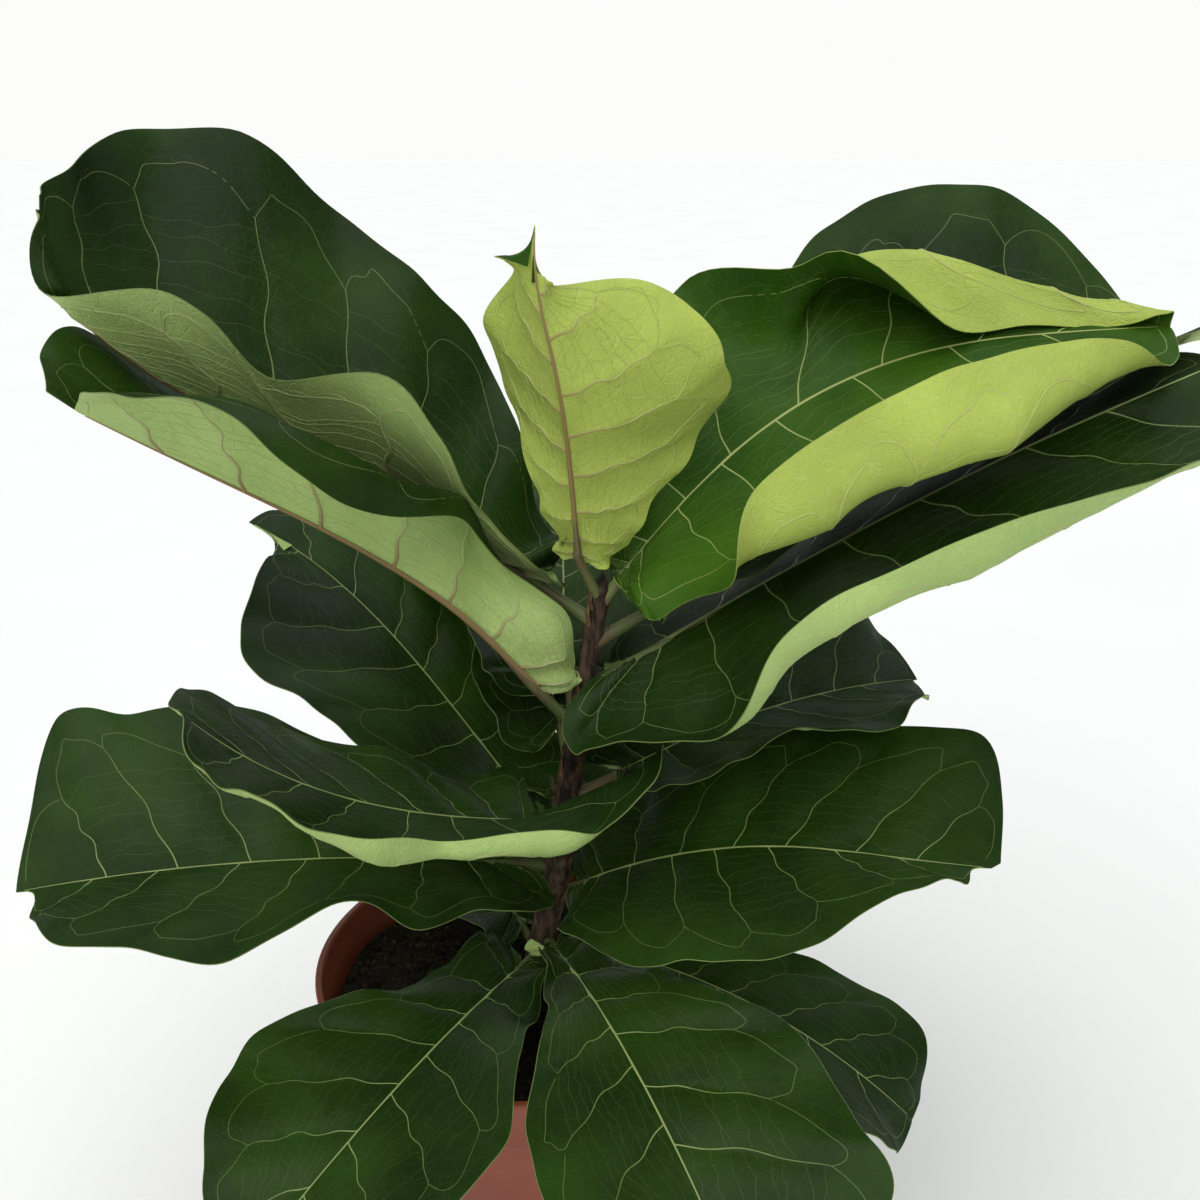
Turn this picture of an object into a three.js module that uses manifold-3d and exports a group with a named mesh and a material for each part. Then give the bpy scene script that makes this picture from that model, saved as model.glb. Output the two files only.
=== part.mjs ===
// A potted fiddle leaf fig: eighteen large leaves spiral up one thin trunk in a round nursery pot.
// Millimetres, +Z up. The origin is the middle of the pot's flat underside and the plant's front faces -Y.
import * as THREE from "three";
import Module from "manifold-3d";
import { mergeVertices } from "three/addons/utils/BufferGeometryUtils.js";

const wasm = await Module();
wasm.setup();

// ---- Driving dimensions ----
const POT_HEIGHT = 190;
const POT_TOP_RADIUS = 105;
const POT_BASE_RADIUS = 72;
const POT_WALL = 2.4;
const POT_FLOOR = 3;
const POT_BAND = 26; // height of the thicker band below the rim
const POT_BAND_STEP = 4; // how far the band stands out from the wall
const POT_SEGMENTS = 40;
const DRAIN_HOLES = 6;
const DRAIN_HOLE_RADIUS = 4;
const DRAIN_HOLE_SIDES = 16;
const DRAIN_CIRCLE_RADIUS = 46;

const POT_FOOT_BEVEL = 4; // width of the sloped edge round the underside
const POT_CORNER = 3; // height of the slopes that end the wall and the band
const RIM_ROUND = 1.4; // how far the rim's edge is rounded off

const GAP = 0.3; // clear space between pieces that touch
const SOIL_LEVEL = 174;
const SOIL_EDGE_DROP = 4; // how far the soil falls away at the pot's wall
const SOIL_WALL_DROP = 16;
const SOIL_SEGMENTS = POT_SEGMENTS;
const SOIL_RINGS = [0.97, 0.84, 0.64, 0.42, 0.2];
const SOIL_SWELLS = [1.3, 0.7]; // height of the soil's broad and fine unevenness

const TRUNK_FOOT = 112; // lower end of the trunk, in the soil
const TRUNK_TOP = 380;
const TRUNK_SOIL_X = 2; // trunk axis at soil level
const TRUNK_TOP_X = 33; // the trunk leans to the right
const TRUNK_FOOT_RADIUS = 8;
const TRUNK_TOP_RADIUS = 3.9;
const TRUNK_RINGS = 38;
const TRUNK_SIDES = 10;
const NODE_SWELL = 0.9; // how far the trunk swells under a leaf
const BARK_RIDGES = [0.25, 0.2];
const BARE_ABOVE_SOIL = 6; // the bark is smooth up to here above the soil
const HOLE_SEGMENTS = 24; // sides of the trunk's hole in the soil
const BUD_LENGTH = 9;
const BUD_RINGS = [
  // share of the bud's length, radius
  [0.35, 3.2],
  [0.75, 1.9],
  [1, 0.6],
];

const BLADE_THICKNESS = 0.9;
const MIDRIB_DEPTH = 2.2; // height of the midrib's ridge under the blade, at the base
const PETIOLE_RADIUS = 2.6;
const PETIOLE_SIDES = 7;
const PETIOLE_CLEARANCE = 2.2; // from the trunk's swollen bark to the petiole's end
const MIDRIB_STEPS = 80;
const RIB_STEPS = 24;
const PLAIN_GRID = { rows: 12, columns: [2, 8, 16, 24] };
const ROLLED_GRID = { rows: 17, columns: [2, 6, 11, 16, 20, 24] };

// Outline of half a blade, as ribs that run from the midrib to the margin. Each rib holds where it leaves the
// midrib, how far along the leaf it meets the margin, and how far out, in blade lengths.
const RIBS = [
  [0.0, 0.0, 0.0],
  [0.008, -0.065, 0.03],
  [0.02, -0.12, 0.085],
  [0.04, -0.1, 0.16],
  [0.08, -0.005, 0.21],
  [0.145, 0.125, 0.222],
  [0.225, 0.27, 0.222],
  [0.33, 0.43, 0.262],
  [0.455, 0.61, 0.33],
  [0.6, 0.785, 0.352],
  [0.75, 0.925, 0.29],
  [0.89, 0.995, 0.155],
  [1.0, 1.0, 0.0],
];

// How one half of a blade is bent. Angles are degrees and lists run from the leaf's base to its tip:
// fold is the rise from the midrib, cup is added evenly towards the margin, and turn is added between
// turn_from and turn_to. wave is how far the margin swings and waves how often. width, reach and lobe
// scale the outline across, along and behind the base, and apex moves its end along the leaf.
const HALF_BLADE = {
  fold: 15,
  cup: 5,
  turn: 0,
  turn_from: 0.6,
  turn_to: 1,
  wave: 4,
  waves: 4,
  phase: 0,
  width: 1,
  reach: 1,
  apex: 0,
  lobe: 1,
};

// Each leaf: height on the trunk, petiole and blade length, then the midrib's heading (0 is right, 90 is
// back), its rise above level and its roll, from base to tip. Left and right are seen from the petiole.
const LEAVES = {
  leaf_01_upper_left: {
    height: 364,
    petiole: 34,
    petiole_heading: 165,
    length: 258,
    heading: [184, 185, 186, 190, 194],
    rise: [34, 32, 31, 30, 30, 31, 40, 68, 92],
    grid: ROLLED_GRID,
    left: {
      fold: [38, 38, 36, 36, 40, 42, 46, 40, 20],
      cup: 0,
      wave: 2,
      waves: 2,
      width: [0.6, 0.5, 0.45, 0.35, 0.3, 0.3, 0.45, 0.7, 1.15, 1.4, 0.55, 0.65, 0.5, 0.15, 0.4, 0.25, 0.3],
      lobe: 0.4,
    },
    right: {
      fold: [44, 44, 46, 50, 54, 54, 52, 50, 48],
      turn: 0,
      wave: 6,
      waves: 6.5,
      phase: 0.55,
      width: [0.6, 0.6, 0.6, 0.6, 0.55, 0.45, 0.6, 1.1, 1.5, 1.5, 1.4, 1.3, 1.27, 1.13, 0.66, 0.37, 0.3],
      apex: 0.05,
      lobe: 0.25,
    },
  },
  leaf_02_left_keeled: {
    height: 312,
    petiole: 31,
    petiole_heading: 212,
    length: 225,
    heading: [198, 197, 196, 194],
    rise: [52, 48, 40, 34, 31, 31, 32],
    grid: ROLLED_GRID,
    left: {
      fold: [48, 68, 82, 68, 115, 60, 52, 46, 45],
      cup: 0,
      turn: [0, 40, 55, 40, -115, -112, -70, -55, 10],
      turn_from: 0.5,
      turn_to: 0.85,
      width: [0.6, 0.65, 0.5, 0.6, 0.85, 1.05, 0.9, 0.8, 0.9],
      lobe: 0.35,
    },
    right: {
      fold: [15, 14, 20, 20, 26, 22, 11, 19, 18],
      width: [1, 1, 1.4, 1.4, 0.9, 0.75, 0.85, 0.85, 1],
      apex: 0.12,
      lobe: 0.4,
    },
  },
  leaf_03_young_upright: {
    height: 376,
    petiole: 26,
    petiole_heading: 228,
    petiole_rise: 60,
    length: 148,
    heading: [258, 254, 205],
    rise: [73, 70, 66, 72, 96],
    roll: [11, 10, 12, 48, 135],
    grid: ROLLED_GRID,
    left: {
      fold: 8,
      cup: 15,
      wave: 3,
      width: [0.55, 0.55, 0.65, 0.6, 0.65, 0.7, 0.8, 1, 1.45, 1.55, 1.55, 1.3, 1.1, 0.9, 0.3, 0.1, 0.3],
      reach: 0.86,
      lobe: 0.4,
    },
    right: {
      fold: [54, 59, 60, 45, 30, 45, 51, 72, 65],
      cup: 0,
      wave: 3,
      width: [0.7, 0.85, 1, 1, 0.95, 0.6, 0.4, 0.5, 0.6, 0.75, 0.85, 0.8, 0.7, 0.45, 0.45, 0.75, 0.9],
      reach: 0.86,
      apex: 0.09,
      lobe: 0.4,
    },
  },
  leaf_04_young_rolled: {
    height: 372,
    petiole: 19,
    length: 262,
    heading: [8, 4, -2, -6],
    rise: [53, 43, 24, 7, 3],
    grid: ROLLED_GRID,
    left: {
      fold: [32, 38, 46, 56, 52, 48, 45, 40, 30],
      cup: 0,
      turn: [0, 0, 0, 0, 0, -5, -15, -5, 10, 0, 60, 185, 195, 190, 178, 150, 120],
      turn_from: 0.36,
      turn_to: 0.62,
      wave: 3,
      width: [0.3, 0.35, 0.45, 0.6, 0.72, 1, 1.25, 1.25, 1.2, 1.2, 0.72, 1.2, 0.95, 0.6, 0.5, 0.5, 0.4],
      lobe: 0.1,
    },
    right: {
      fold: [10, 8, 0, -10, -25, -30, -30, -30, -20],
      cup: 0,
      turn: [0, 0, -50, -40, 120, 145, 175, 20, 30],
      turn_from: 0.5,
      turn_to: 0.9,
      wave: 3,
      width: [0.6, 0.7, 0.8, 0.8, 1.8, 1.45, 1.1, 0.5, 0.45],
      lobe: 0.15,
    },
  },
  leaf_05_upper_right_back: {
    height: 354,
    petiole: 44,
    length: 270,
    heading: [15, 14, 14, 14],
    rise: [28, 26, 22, 14],
    grid: ROLLED_GRID,
    left: {
      fold: [38, 40, 46, 47, 47, 46, 42, 36],
      width: [1, 1.1, 1.2, 1.3, 1.4, 1.42, 1.3, 1.3, 1.2],
      reach: 0.94,
      lobe: 0.3,
    },
    right: { fold: 14, width: 0.6, lobe: 0.4 },
  },
  leaf_06_upper_right: {
    height: 332,
    petiole: 28,
    length: 285,
    heading: [-5, -4, -2],
    rise: [35, 30, 23],
    grid: ROLLED_GRID,
    left: { fold: [-4, -4, -6, -8, -10, -12, -12], width: [0.9, 0.9, 1, 1, 1], lobe: 0.6 },
    right: {
      fold: [30, 0, -28, -32, -14, -25, -28, -50, 0],
      cup: 0,
      turn: [60, 50, 55, 55, 90, 135, 65, 60, 0],
      turn_from: 0.6,
      width: [1.2, 1.2, 0.9, 1.1, 1.4, 0.85, 0.6, 0.65, 1],
      lobe: 1.1,
    },
  },
  leaf_07_left_back: {
    height: 252,
    petiole: 36,
    length: 200,
    heading: [140, 142, 150, 160],
    rise: [36, 36, 31, 20],
    left: { fold: 10, width: [0.7, 0.8, 0.9, 1.3, 1.65, 1.6, 1.1, 0.65, 0.6], reach: 0.86 },
    right: { fold: 10, width: [0.9, 0.9, 0.8, 0.7, 0.65], lobe: 0.6 },
  },
  leaf_08_back_left: {
    height: 290,
    petiole: 30,
    length: 160,
    heading: [104, 107, 112],
    rise: [30, 18, 8],
    both: { fold: 12, width: [1.1, 1.1, 1, 1, 1], lobe: 0.9 },
  },
  leaf_09_left_cupped: {
    height: 247,
    petiole: 30,
    petiole_heading: 245,
    petiole_rise: 60,
    length: 182,
    heading: [220, 212, 206],
    rise: [18, 28, 50],
    grid: ROLLED_GRID,
    left: {
      fold: [60, 30, 43, 20, 3, -12, -11, -12, -11],
      cup: 0,
      turn: [57, 32, 34, 31, 98, 134, 48, 36, 16],
      turn_from: 0.65,
      width: [1.8, 1.9, 2.4, 1.75, 1.55, 0.95, 0.6, 0.85, 0.85],
      lobe: 0.8,
    },
    right: { fold: [25, 25, 20, 18, 14, 8, 0, -5], width: 0.85, lobe: 0.2 },
  },
  leaf_10_left_low: {
    height: 240,
    petiole: 28,
    length: 226,
    heading: [186, 184, 180],
    rise: [8, -2, -12],
    left: {
      fold: -5,
      width: [1, 1, 1, 1, 0.9, 1.05, 0.8, 0.95, 0.75, 0.9, 1.05, 0.8, 0.7, 0.7, 0.55, 0.65, 0.8],
      reach: 0.94,
    },
    right: { fold: 38, width: [1, 1, 1, 1, 1, 1.15, 1.05, 1.4, 1.1] },
  },
  leaf_11_right_low: {
    height: 224,
    petiole: 18,
    length: 192,
    heading: [-16, -12, -8],
    rise: [32, 16, -1, -2],
    left: { fold: 30, width: [1, 1, 1, 1, 1, 1.1, 1, 1.3, 1.25], apex: 0.05, lobe: 0.3 },
    right: {
      fold: -15,
      width: [0.8, 0.85, 0.9, 1, 1.6, 1.2, 0.45, 0.25, 0.3],
      reach: 0.95,
      lobe: 0.35,
    },
  },
  leaf_12_right_back: {
    height: 276,
    petiole: 32,
    length: 170,
    heading: [26, 24, 22],
    rise: [16, 6, -6],
    both: { lobe: 0.6 },
    left: { fold: 25, width: [1, 1, 1, 1.1, 1.25] },
    right: { fold: 5, width: [1, 1, 1, 0.85, 0.7], apex: -0.06 },
  },
  leaf_13_front_left: {
    height: 194,
    petiole: 20,
    length: 180,
    heading: [240, 238, 235],
    rise: [4, -8, -20],
    both: { fold: 10 },
    left: { width: [0.85, 0.85, 0.85, 0.5, 0.95, 1.15, 1, 1, 1], lobe: 0.4 },
    right: { width: [1, 1, 0.75, 0.7, 0.8, 1.15, 0.9, 0.65, 1.1], lobe: 0.5 },
  },
  leaf_14_front_right: {
    height: 200,
    petiole: 18,
    length: 205,
    heading: [-70, -69, -67],
    rise: [14, -4, -26],
    left: { fold: 14, width: [0.8, 0.8, 0.8, 0.45, 0.65, 0.95, 0.9, 1.15, 1], lobe: 0.35 },
    right: { fold: 8, width: [0.55, 0.55, 0.4, 0.2, 0.5, 0.75, 0.8, 0.75, 0.85], lobe: 0.15 },
  },
  leaf_15_right_lowest: {
    height: 200,
    petiole: 32,
    length: 160,
    heading: [-22, -24, -26],
    rise: [1, -17, -36],
    both: { fold: 6, width: 0.85, lobe: 0.2 },
    left: { lobe: 0.1 },
    right: { width: [0.6, 0.7, 0.8, 0.85, 0.85, 0.85, 0.85], lobe: 0.1 },
  },
  leaf_16_back_lowest: {
    height: 190,
    petiole: 30,
    length: 160,
    heading: [118, 114, 110],
    rise: [8, 0, -12],
    both: { fold: 10, width: 0.9 },
  },
  leaf_17_back_upper: {
    height: 304,
    petiole: 34,
    length: 210,
    heading: [96, 90, 84],
    rise: [30, 16, 4],
    both: { fold: 14, lobe: 0.3 },
  },
  leaf_18_back_right: {
    height: 228,
    petiole: 34,
    length: 200,
    heading: [62, 60, 58],
    rise: [18, 4, -12],
    both: { fold: 12 },
  },
};

// ---- Small helpers ----
const radians = THREE.MathUtils.degToRad;
const clamp01 = (x) => Math.min(Math.max(x, 0), 1);

// A smooth curve through evenly spaced values, read at u from 0 to 1.
function smooth(values, u) {
  const list = Array.isArray(values) ? values : [values];
  if (list.length === 1) return list[0];
  const last = list.length - 1;
  const x = clamp01(u) * last;
  const i = Math.min(Math.floor(x), last - 1);
  const f = x - i;
  const b = list[i];
  const c = list[i + 1];
  const a = i > 0 ? list[i - 1] : 2 * b - c;
  const d = i < last - 1 ? list[i + 2] : 2 * c - b;
  const bend = (2 * a - 5 * b + 4 * c - d) * f ** 2;
  return 0.5 * (2 * b + (c - a) * f + bend + (3 * b - a - 3 * c + d) * f ** 3);
}

function geometryFrom(points, faces) {
  const flat = points.flatMap((p) => [p.x, p.y, p.z]);
  return new THREE.BufferGeometry()
    .setAttribute("position", new THREE.Float32BufferAttribute(flat, 3))
    .setIndex(faces.flat());
}

function solidFrom(geometry) {
  const bare = new THREE.BufferGeometry().setAttribute("position", geometry.getAttribute("position"));
  bare.setIndex(geometry.index);
  const merged = mergeVertices(bare, 1e-4);
  return new wasm.Manifold(
    new wasm.Mesh({
      numProp: 3,
      vertProperties: new Float32Array(merged.getAttribute("position").array),
      triVerts: new Uint32Array(merged.index.array),
    }),
  );
}

function geometryOfSolid(solid) {
  const mesh = solid.getMesh();
  const geometry = new THREE.BufferGeometry();
  geometry.setAttribute("position", new THREE.BufferAttribute(new Float32Array(mesh.vertProperties), 3));
  geometry.setIndex(new THREE.BufferAttribute(new Uint32Array(mesh.triVerts), 1));
  geometry.computeVertexNormals();
  return geometry;
}

function namedMesh(name, geometry, colour, roughness) {
  const material = new THREE.MeshStandardMaterial({ color: colour, roughness, metalness: 0 });
  const mesh = new THREE.Mesh(geometry, material);
  mesh.name = name;
  return mesh;
}

// A closed tube through a row of points. offset(ring, angle) is the radius there.
function tube(points, sides, offset) {
  const vertices = [];
  const faces = [];
  let side = null;
  points.forEach((point, ring) => {
    const before = points[Math.max(ring - 1, 0)];
    const after = points[Math.min(ring + 1, points.length - 1)];
    const along = after.clone().sub(before).normalize();
    if (!side) side = new THREE.Vector3(0, 1, 0);
    side = side.clone().addScaledVector(along, -side.dot(along)).normalize();
    const other = new THREE.Vector3().crossVectors(along, side);
    for (let k = 0; k < sides; k++) {
      const angle = (2 * Math.PI * k) / sides;
      const r = offset(ring, angle);
      vertices.push(
        point
          .clone()
          .addScaledVector(side, r * Math.cos(angle))
          .addScaledVector(other, r * Math.sin(angle)),
      );
    }
  });
  const start = vertices.push(points[0].clone()) - 1;
  const end = vertices.push(points[points.length - 1].clone()) - 1;
  const lastRing = (points.length - 1) * sides;
  for (let k = 0; k < sides; k++) {
    const next = (k + 1) % sides;
    for (let row = 0; row < lastRing; row += sides) {
      const [a, b, c, d] = [row + k, row + next, row + sides + next, row + sides + k];
      faces.push([a, b, c], [a, c, d]);
    }
    faces.push([start, next, k], [end, lastRing + k, lastRing + next]);
  }
  return geometryFrom(vertices, faces);
}

// ---- Pot ----
function potWallRadius(z) {
  return THREE.MathUtils.mapLinear(z, 0, POT_HEIGHT, POT_BASE_RADIUS, POT_TOP_RADIUS - POT_BAND_STEP);
}

// Half a section of the pot, from the middle of the underside round the rim to the middle of the floor.
function potProfile() {
  const bandFoot = POT_HEIGHT - POT_BAND;
  const wall = potWallRadius(bandFoot);
  const band = wall + POT_BAND_STEP;
  const inside = (z) => potWallRadius(z) - POT_WALL;
  const insideRim = POT_TOP_RADIUS - POT_WALL;
  return [
    [0, 0],
    [POT_BASE_RADIUS - POT_FOOT_BEVEL, 0],
    [potWallRadius(POT_FOOT_BEVEL), POT_FOOT_BEVEL],
    [wall, bandFoot - POT_CORNER],
    [band, bandFoot],
    [POT_TOP_RADIUS, POT_HEIGHT - RIM_ROUND],
    [POT_TOP_RADIUS - RIM_ROUND / 2, POT_HEIGHT],
    [insideRim - RIM_ROUND / 2, POT_HEIGHT],
    [insideRim - RIM_ROUND, POT_HEIGHT - RIM_ROUND],
    [band - POT_WALL, bandFoot + POT_CORNER],
    [inside(bandFoot), bandFoot],
    [inside(POT_FLOOR + POT_CORNER), POT_FLOOR + POT_CORNER],
    [inside(POT_FLOOR) - POT_CORNER, POT_FLOOR],
    [0, POT_FLOOR],
  ].map(([r, z]) => new THREE.Vector2(r, z));
}

function potGeometry() {
  const shell = new THREE.LatheGeometry(potProfile(), POT_SEGMENTS).rotateX(Math.PI / 2);
  let solid = solidFrom(shell);
  const r = DRAIN_HOLE_RADIUS;
  for (let i = 0; i < DRAIN_HOLES; i++) {
    const angle = (2 * Math.PI * (i + 0.5)) / DRAIN_HOLES;
    const hole = new THREE.CylinderGeometry(r, r, 4 * POT_FLOOR, DRAIN_HOLE_SIDES);
    hole.rotateX(Math.PI / 2);
    hole.translate(DRAIN_CIRCLE_RADIUS * Math.cos(angle), DRAIN_CIRCLE_RADIUS * Math.sin(angle), 0);
    solid = solid.subtract(solidFrom(hole));
  }
  return geometryOfSolid(solid);
}

// ---- Trunk ----
const trunkShare = (z) => (z - SOIL_LEVEL) / (TRUNK_TOP - SOIL_LEVEL);

// The axis stands straight in the soil and leans to the right above it.
function trunkAxis(z) {
  const share = Math.max(trunkShare(z), 0);
  return new THREE.Vector3(THREE.MathUtils.lerp(TRUNK_SOIL_X, TRUNK_TOP_X, share), 0, z);
}

// The radius tapers upwards and swells a little under each leaf.
function trunkRadius(z) {
  const taper = THREE.MathUtils.lerp(TRUNK_FOOT_RADIUS, TRUNK_TOP_RADIUS, clamp01(trunkShare(z)) ** 0.8);
  const swell = Object.values(LEAVES).map(({ height }) => Math.exp(-(((z - height + 3) / 3.5) ** 2)));
  return taper + NODE_SWELL * Math.max(...swell);
}

function trunkGeometry() {
  const points = [];
  const radii = [];
  for (let i = 0; i <= TRUNK_RINGS; i++) {
    const z = THREE.MathUtils.lerp(TRUNK_FOOT, TRUNK_TOP, i / TRUNK_RINGS);
    points.push(trunkAxis(z));
    radii.push(trunkRadius(z));
  }
  // A pointed bud ends the trunk.
  for (const [along, radius] of BUD_RINGS) {
    points.push(trunkAxis(TRUNK_TOP + along * BUD_LENGTH));
    radii.push(radius);
  }
  const [broad, narrow] = BARK_RIDGES;
  return tube(points, TRUNK_SIDES, (ring, angle) => {
    const smoothHere = points[ring].z < SOIL_LEVEL + BARE_ABOVE_SOIL || ring > TRUNK_RINGS;
    if (smoothHere) return radii[ring];
    const bark = broad * Math.sin(3 * angle + 0.9 * ring) + narrow * Math.sin(5 * angle - 1.7 * ring);
    return radii[ring] + bark;
  });
}

// ---- Soil ----
function soilTop(x, y) {
  const broad = SOIL_SWELLS[0] * Math.sin(0.11 * x + 0.4) * Math.cos(0.09 * y + 1.3);
  const fine = SOIL_SWELLS[1] * Math.sin(0.23 * x - 0.19 * y + 2);
  return SOIL_LEVEL + broad + fine;
}

function soilGeometry() {
  const clear = POT_WALL + GAP;
  const floor = POT_FLOOR + GAP;
  const corner = POT_CORNER + GAP;
  const besideWall = (z) => [potWallRadius(z) - clear, z];
  const [top, topLevel] = besideWall(SOIL_LEVEL - SOIL_EDGE_DROP);
  const rings = [
    [potWallRadius(POT_FLOOR) - clear - corner, floor],
    besideWall(POT_FLOOR + corner + GAP),
    besideWall(SOIL_LEVEL - SOIL_WALL_DROP),
    [top, topLevel],
  ];
  for (const share of SOIL_RINGS) rings.push([share * top, null]);
  const vertices = [new THREE.Vector3(0, 0, floor)];
  for (const [radius, z] of rings) {
    for (let k = 0; k < SOIL_SEGMENTS; k++) {
      const angle = (2 * Math.PI * k) / SOIL_SEGMENTS;
      const x = radius * Math.cos(angle);
      const y = radius * Math.sin(angle);
      vertices.push(new THREE.Vector3(x, y, z ?? soilTop(x, y)));
    }
  }
  const last = vertices.push(new THREE.Vector3(0, 0, soilTop(0, 0))) - 1;
  const id = (ring, k) => 1 + ring * SOIL_SEGMENTS + (k % SOIL_SEGMENTS);
  const faces = [];
  for (let k = 0; k < SOIL_SEGMENTS; k++) {
    faces.push([0, id(0, k + 1), id(0, k)]);
    for (let ring = 0; ring < rings.length - 1; ring++) {
      const [a, b, c, d] = [id(ring, k), id(ring, k + 1), id(ring + 1, k + 1), id(ring + 1, k)];
      faces.push([a, b, c], [a, c, d]);
    }
    faces.push([id(rings.length - 1, k), id(rings.length - 1, k + 1), last]);
  }
  const holeRadius = TRUNK_FOOT_RADIUS + NODE_SWELL + 3 * GAP;
  const holeFoot = TRUNK_FOOT - GAP;
  const holeLength = POT_HEIGHT - holeFoot;
  const hole = new THREE.CylinderGeometry(holeRadius, holeRadius, holeLength, HOLE_SEGMENTS);
  hole.rotateX(Math.PI / 2).translate(TRUNK_SOIL_X, 0, holeFoot + holeLength / 2);
  return geometryOfSolid(solidFrom(geometryFrom(vertices, faces)).subtract(solidFrom(hole)));
}

// ---- Leaves ----
// Directions along the midrib, out of the upper face, and across to the left half.
function leafFrame(heading, rise, roll) {
  const a = radians(heading);
  const e = radians(rise);
  const r = radians(roll);
  const along = new THREE.Vector3(Math.cos(e) * Math.cos(a), Math.cos(e) * Math.sin(a), Math.sin(e));
  const face = new THREE.Vector3(-Math.sin(e) * Math.cos(a), -Math.sin(e) * Math.sin(a), Math.cos(e));
  const side = new THREE.Vector3().crossVectors(face, along);
  const up = face.clone().multiplyScalar(Math.cos(r)).addScaledVector(side, -Math.sin(r));
  const across = side.clone().multiplyScalar(Math.cos(r)).addScaledVector(face, Math.sin(r));
  return { along, up, across };
}

// The midrib as evenly spaced frames, each with its point.
function midribOf(leaf) {
  const foot = trunkAxis(leaf.height);
  const petioleRise = leaf.petiole_rise ?? smooth(leaf.rise, 0);
  const petioleHeading = leaf.petiole_heading ?? smooth(leaf.heading, 0);
  const petioleAlong = leafFrame(petioleHeading, petioleRise, 0).along;
  const point = foot.clone().addScaledVector(petioleAlong, leaf.petiole);
  const stations = [];
  for (let i = 0; i <= MIDRIB_STEPS; i++) {
    const u = i / MIDRIB_STEPS;
    const frame = leafFrame(smooth(leaf.heading, u), smooth(leaf.rise, u), smooth(leaf.roll ?? 0, u));
    if (i > 0) {
      const mean = frame.along.clone().add(stations[i - 1].along).multiplyScalar(0.5);
      point.addScaledVector(mean, leaf.length / MIDRIB_STEPS);
    }
    stations.push({ point: point.clone(), ...frame });
  }
  return { foot, petioleAlong, petioleRise, stations };
}

function stationAt(stations, u) {
  const x = clamp01(u) * MIDRIB_STEPS;
  const i = Math.min(Math.floor(x), MIDRIB_STEPS - 1);
  const mix = (key) => stations[i][key].clone().lerp(stations[i + 1][key], x - i);
  return { point: mix("point"), along: mix("along"), up: mix("up"), across: mix("across") };
}

// The points of one rib from the midrib to the margin. side is 1 for the left half and -1 for the right.
function ribPoints(leaf, stations, q, side, columns) {
  const half = { ...HALF_BLADE, ...leaf.both, ...(side > 0 ? leaf.left : leaf.right) };
  const root = clamp01(smooth(RIBS.map((rib) => rib[0]), q));
  const station = stationAt(stations, root);
  let meets = smooth(RIBS.map((rib) => rib[1]), q);
  if (q < 1) meets = meets * half.reach + half.apex * smooth([0, 0, 0, 0, 0.2, 1, 0.4], q);
  if (meets < 0) meets *= half.lobe;
  const forward = (meets - root) * leaf.length;
  const outward = smooth(RIBS.map((rib) => rib[2]), q) * leaf.length * smooth(half.width, q);
  const fade = Math.min(1, q / 0.12, (1 - q) / 0.1);
  const swing = smooth(half.wave, q) * fade * Math.sin(2 * Math.PI * (half.waves * q + half.phase));
  const angleAt = (t) => {
    const s = clamp01((t - half.turn_from) / (half.turn_to - half.turn_from));
    const turn = smooth(half.turn, q) * s * s * (3 - 2 * s);
    return radians(smooth(half.fold, q) + smooth(half.cup, q) * t + turn);
  };
  const stepAt = (t) => {
    const angle = angleAt(t);
    return station.along
      .clone()
      .multiplyScalar(forward)
      .addScaledVector(station.across, side * outward * Math.cos(angle))
      .addScaledVector(station.up, outward * Math.sin(angle));
  };
  const points = [];
  const point = station.point.clone();
  for (let k = 1; k <= RIB_STEPS; k++) {
    const t = k / RIB_STEPS;
    point.addScaledVector(stepAt(t - 1 / RIB_STEPS).add(stepAt(t)), 0.5 / RIB_STEPS);
    if (!columns.includes(k)) continue;
    const angle = angleAt(t);
    const lift = swing * t ** 1.6;
    points.push(
      point
        .clone()
        .addScaledVector(station.up, lift * Math.cos(angle))
        .addScaledVector(station.across, -side * lift * Math.sin(angle)),
    );
  }
  return { middle: station.point, points };
}

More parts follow.
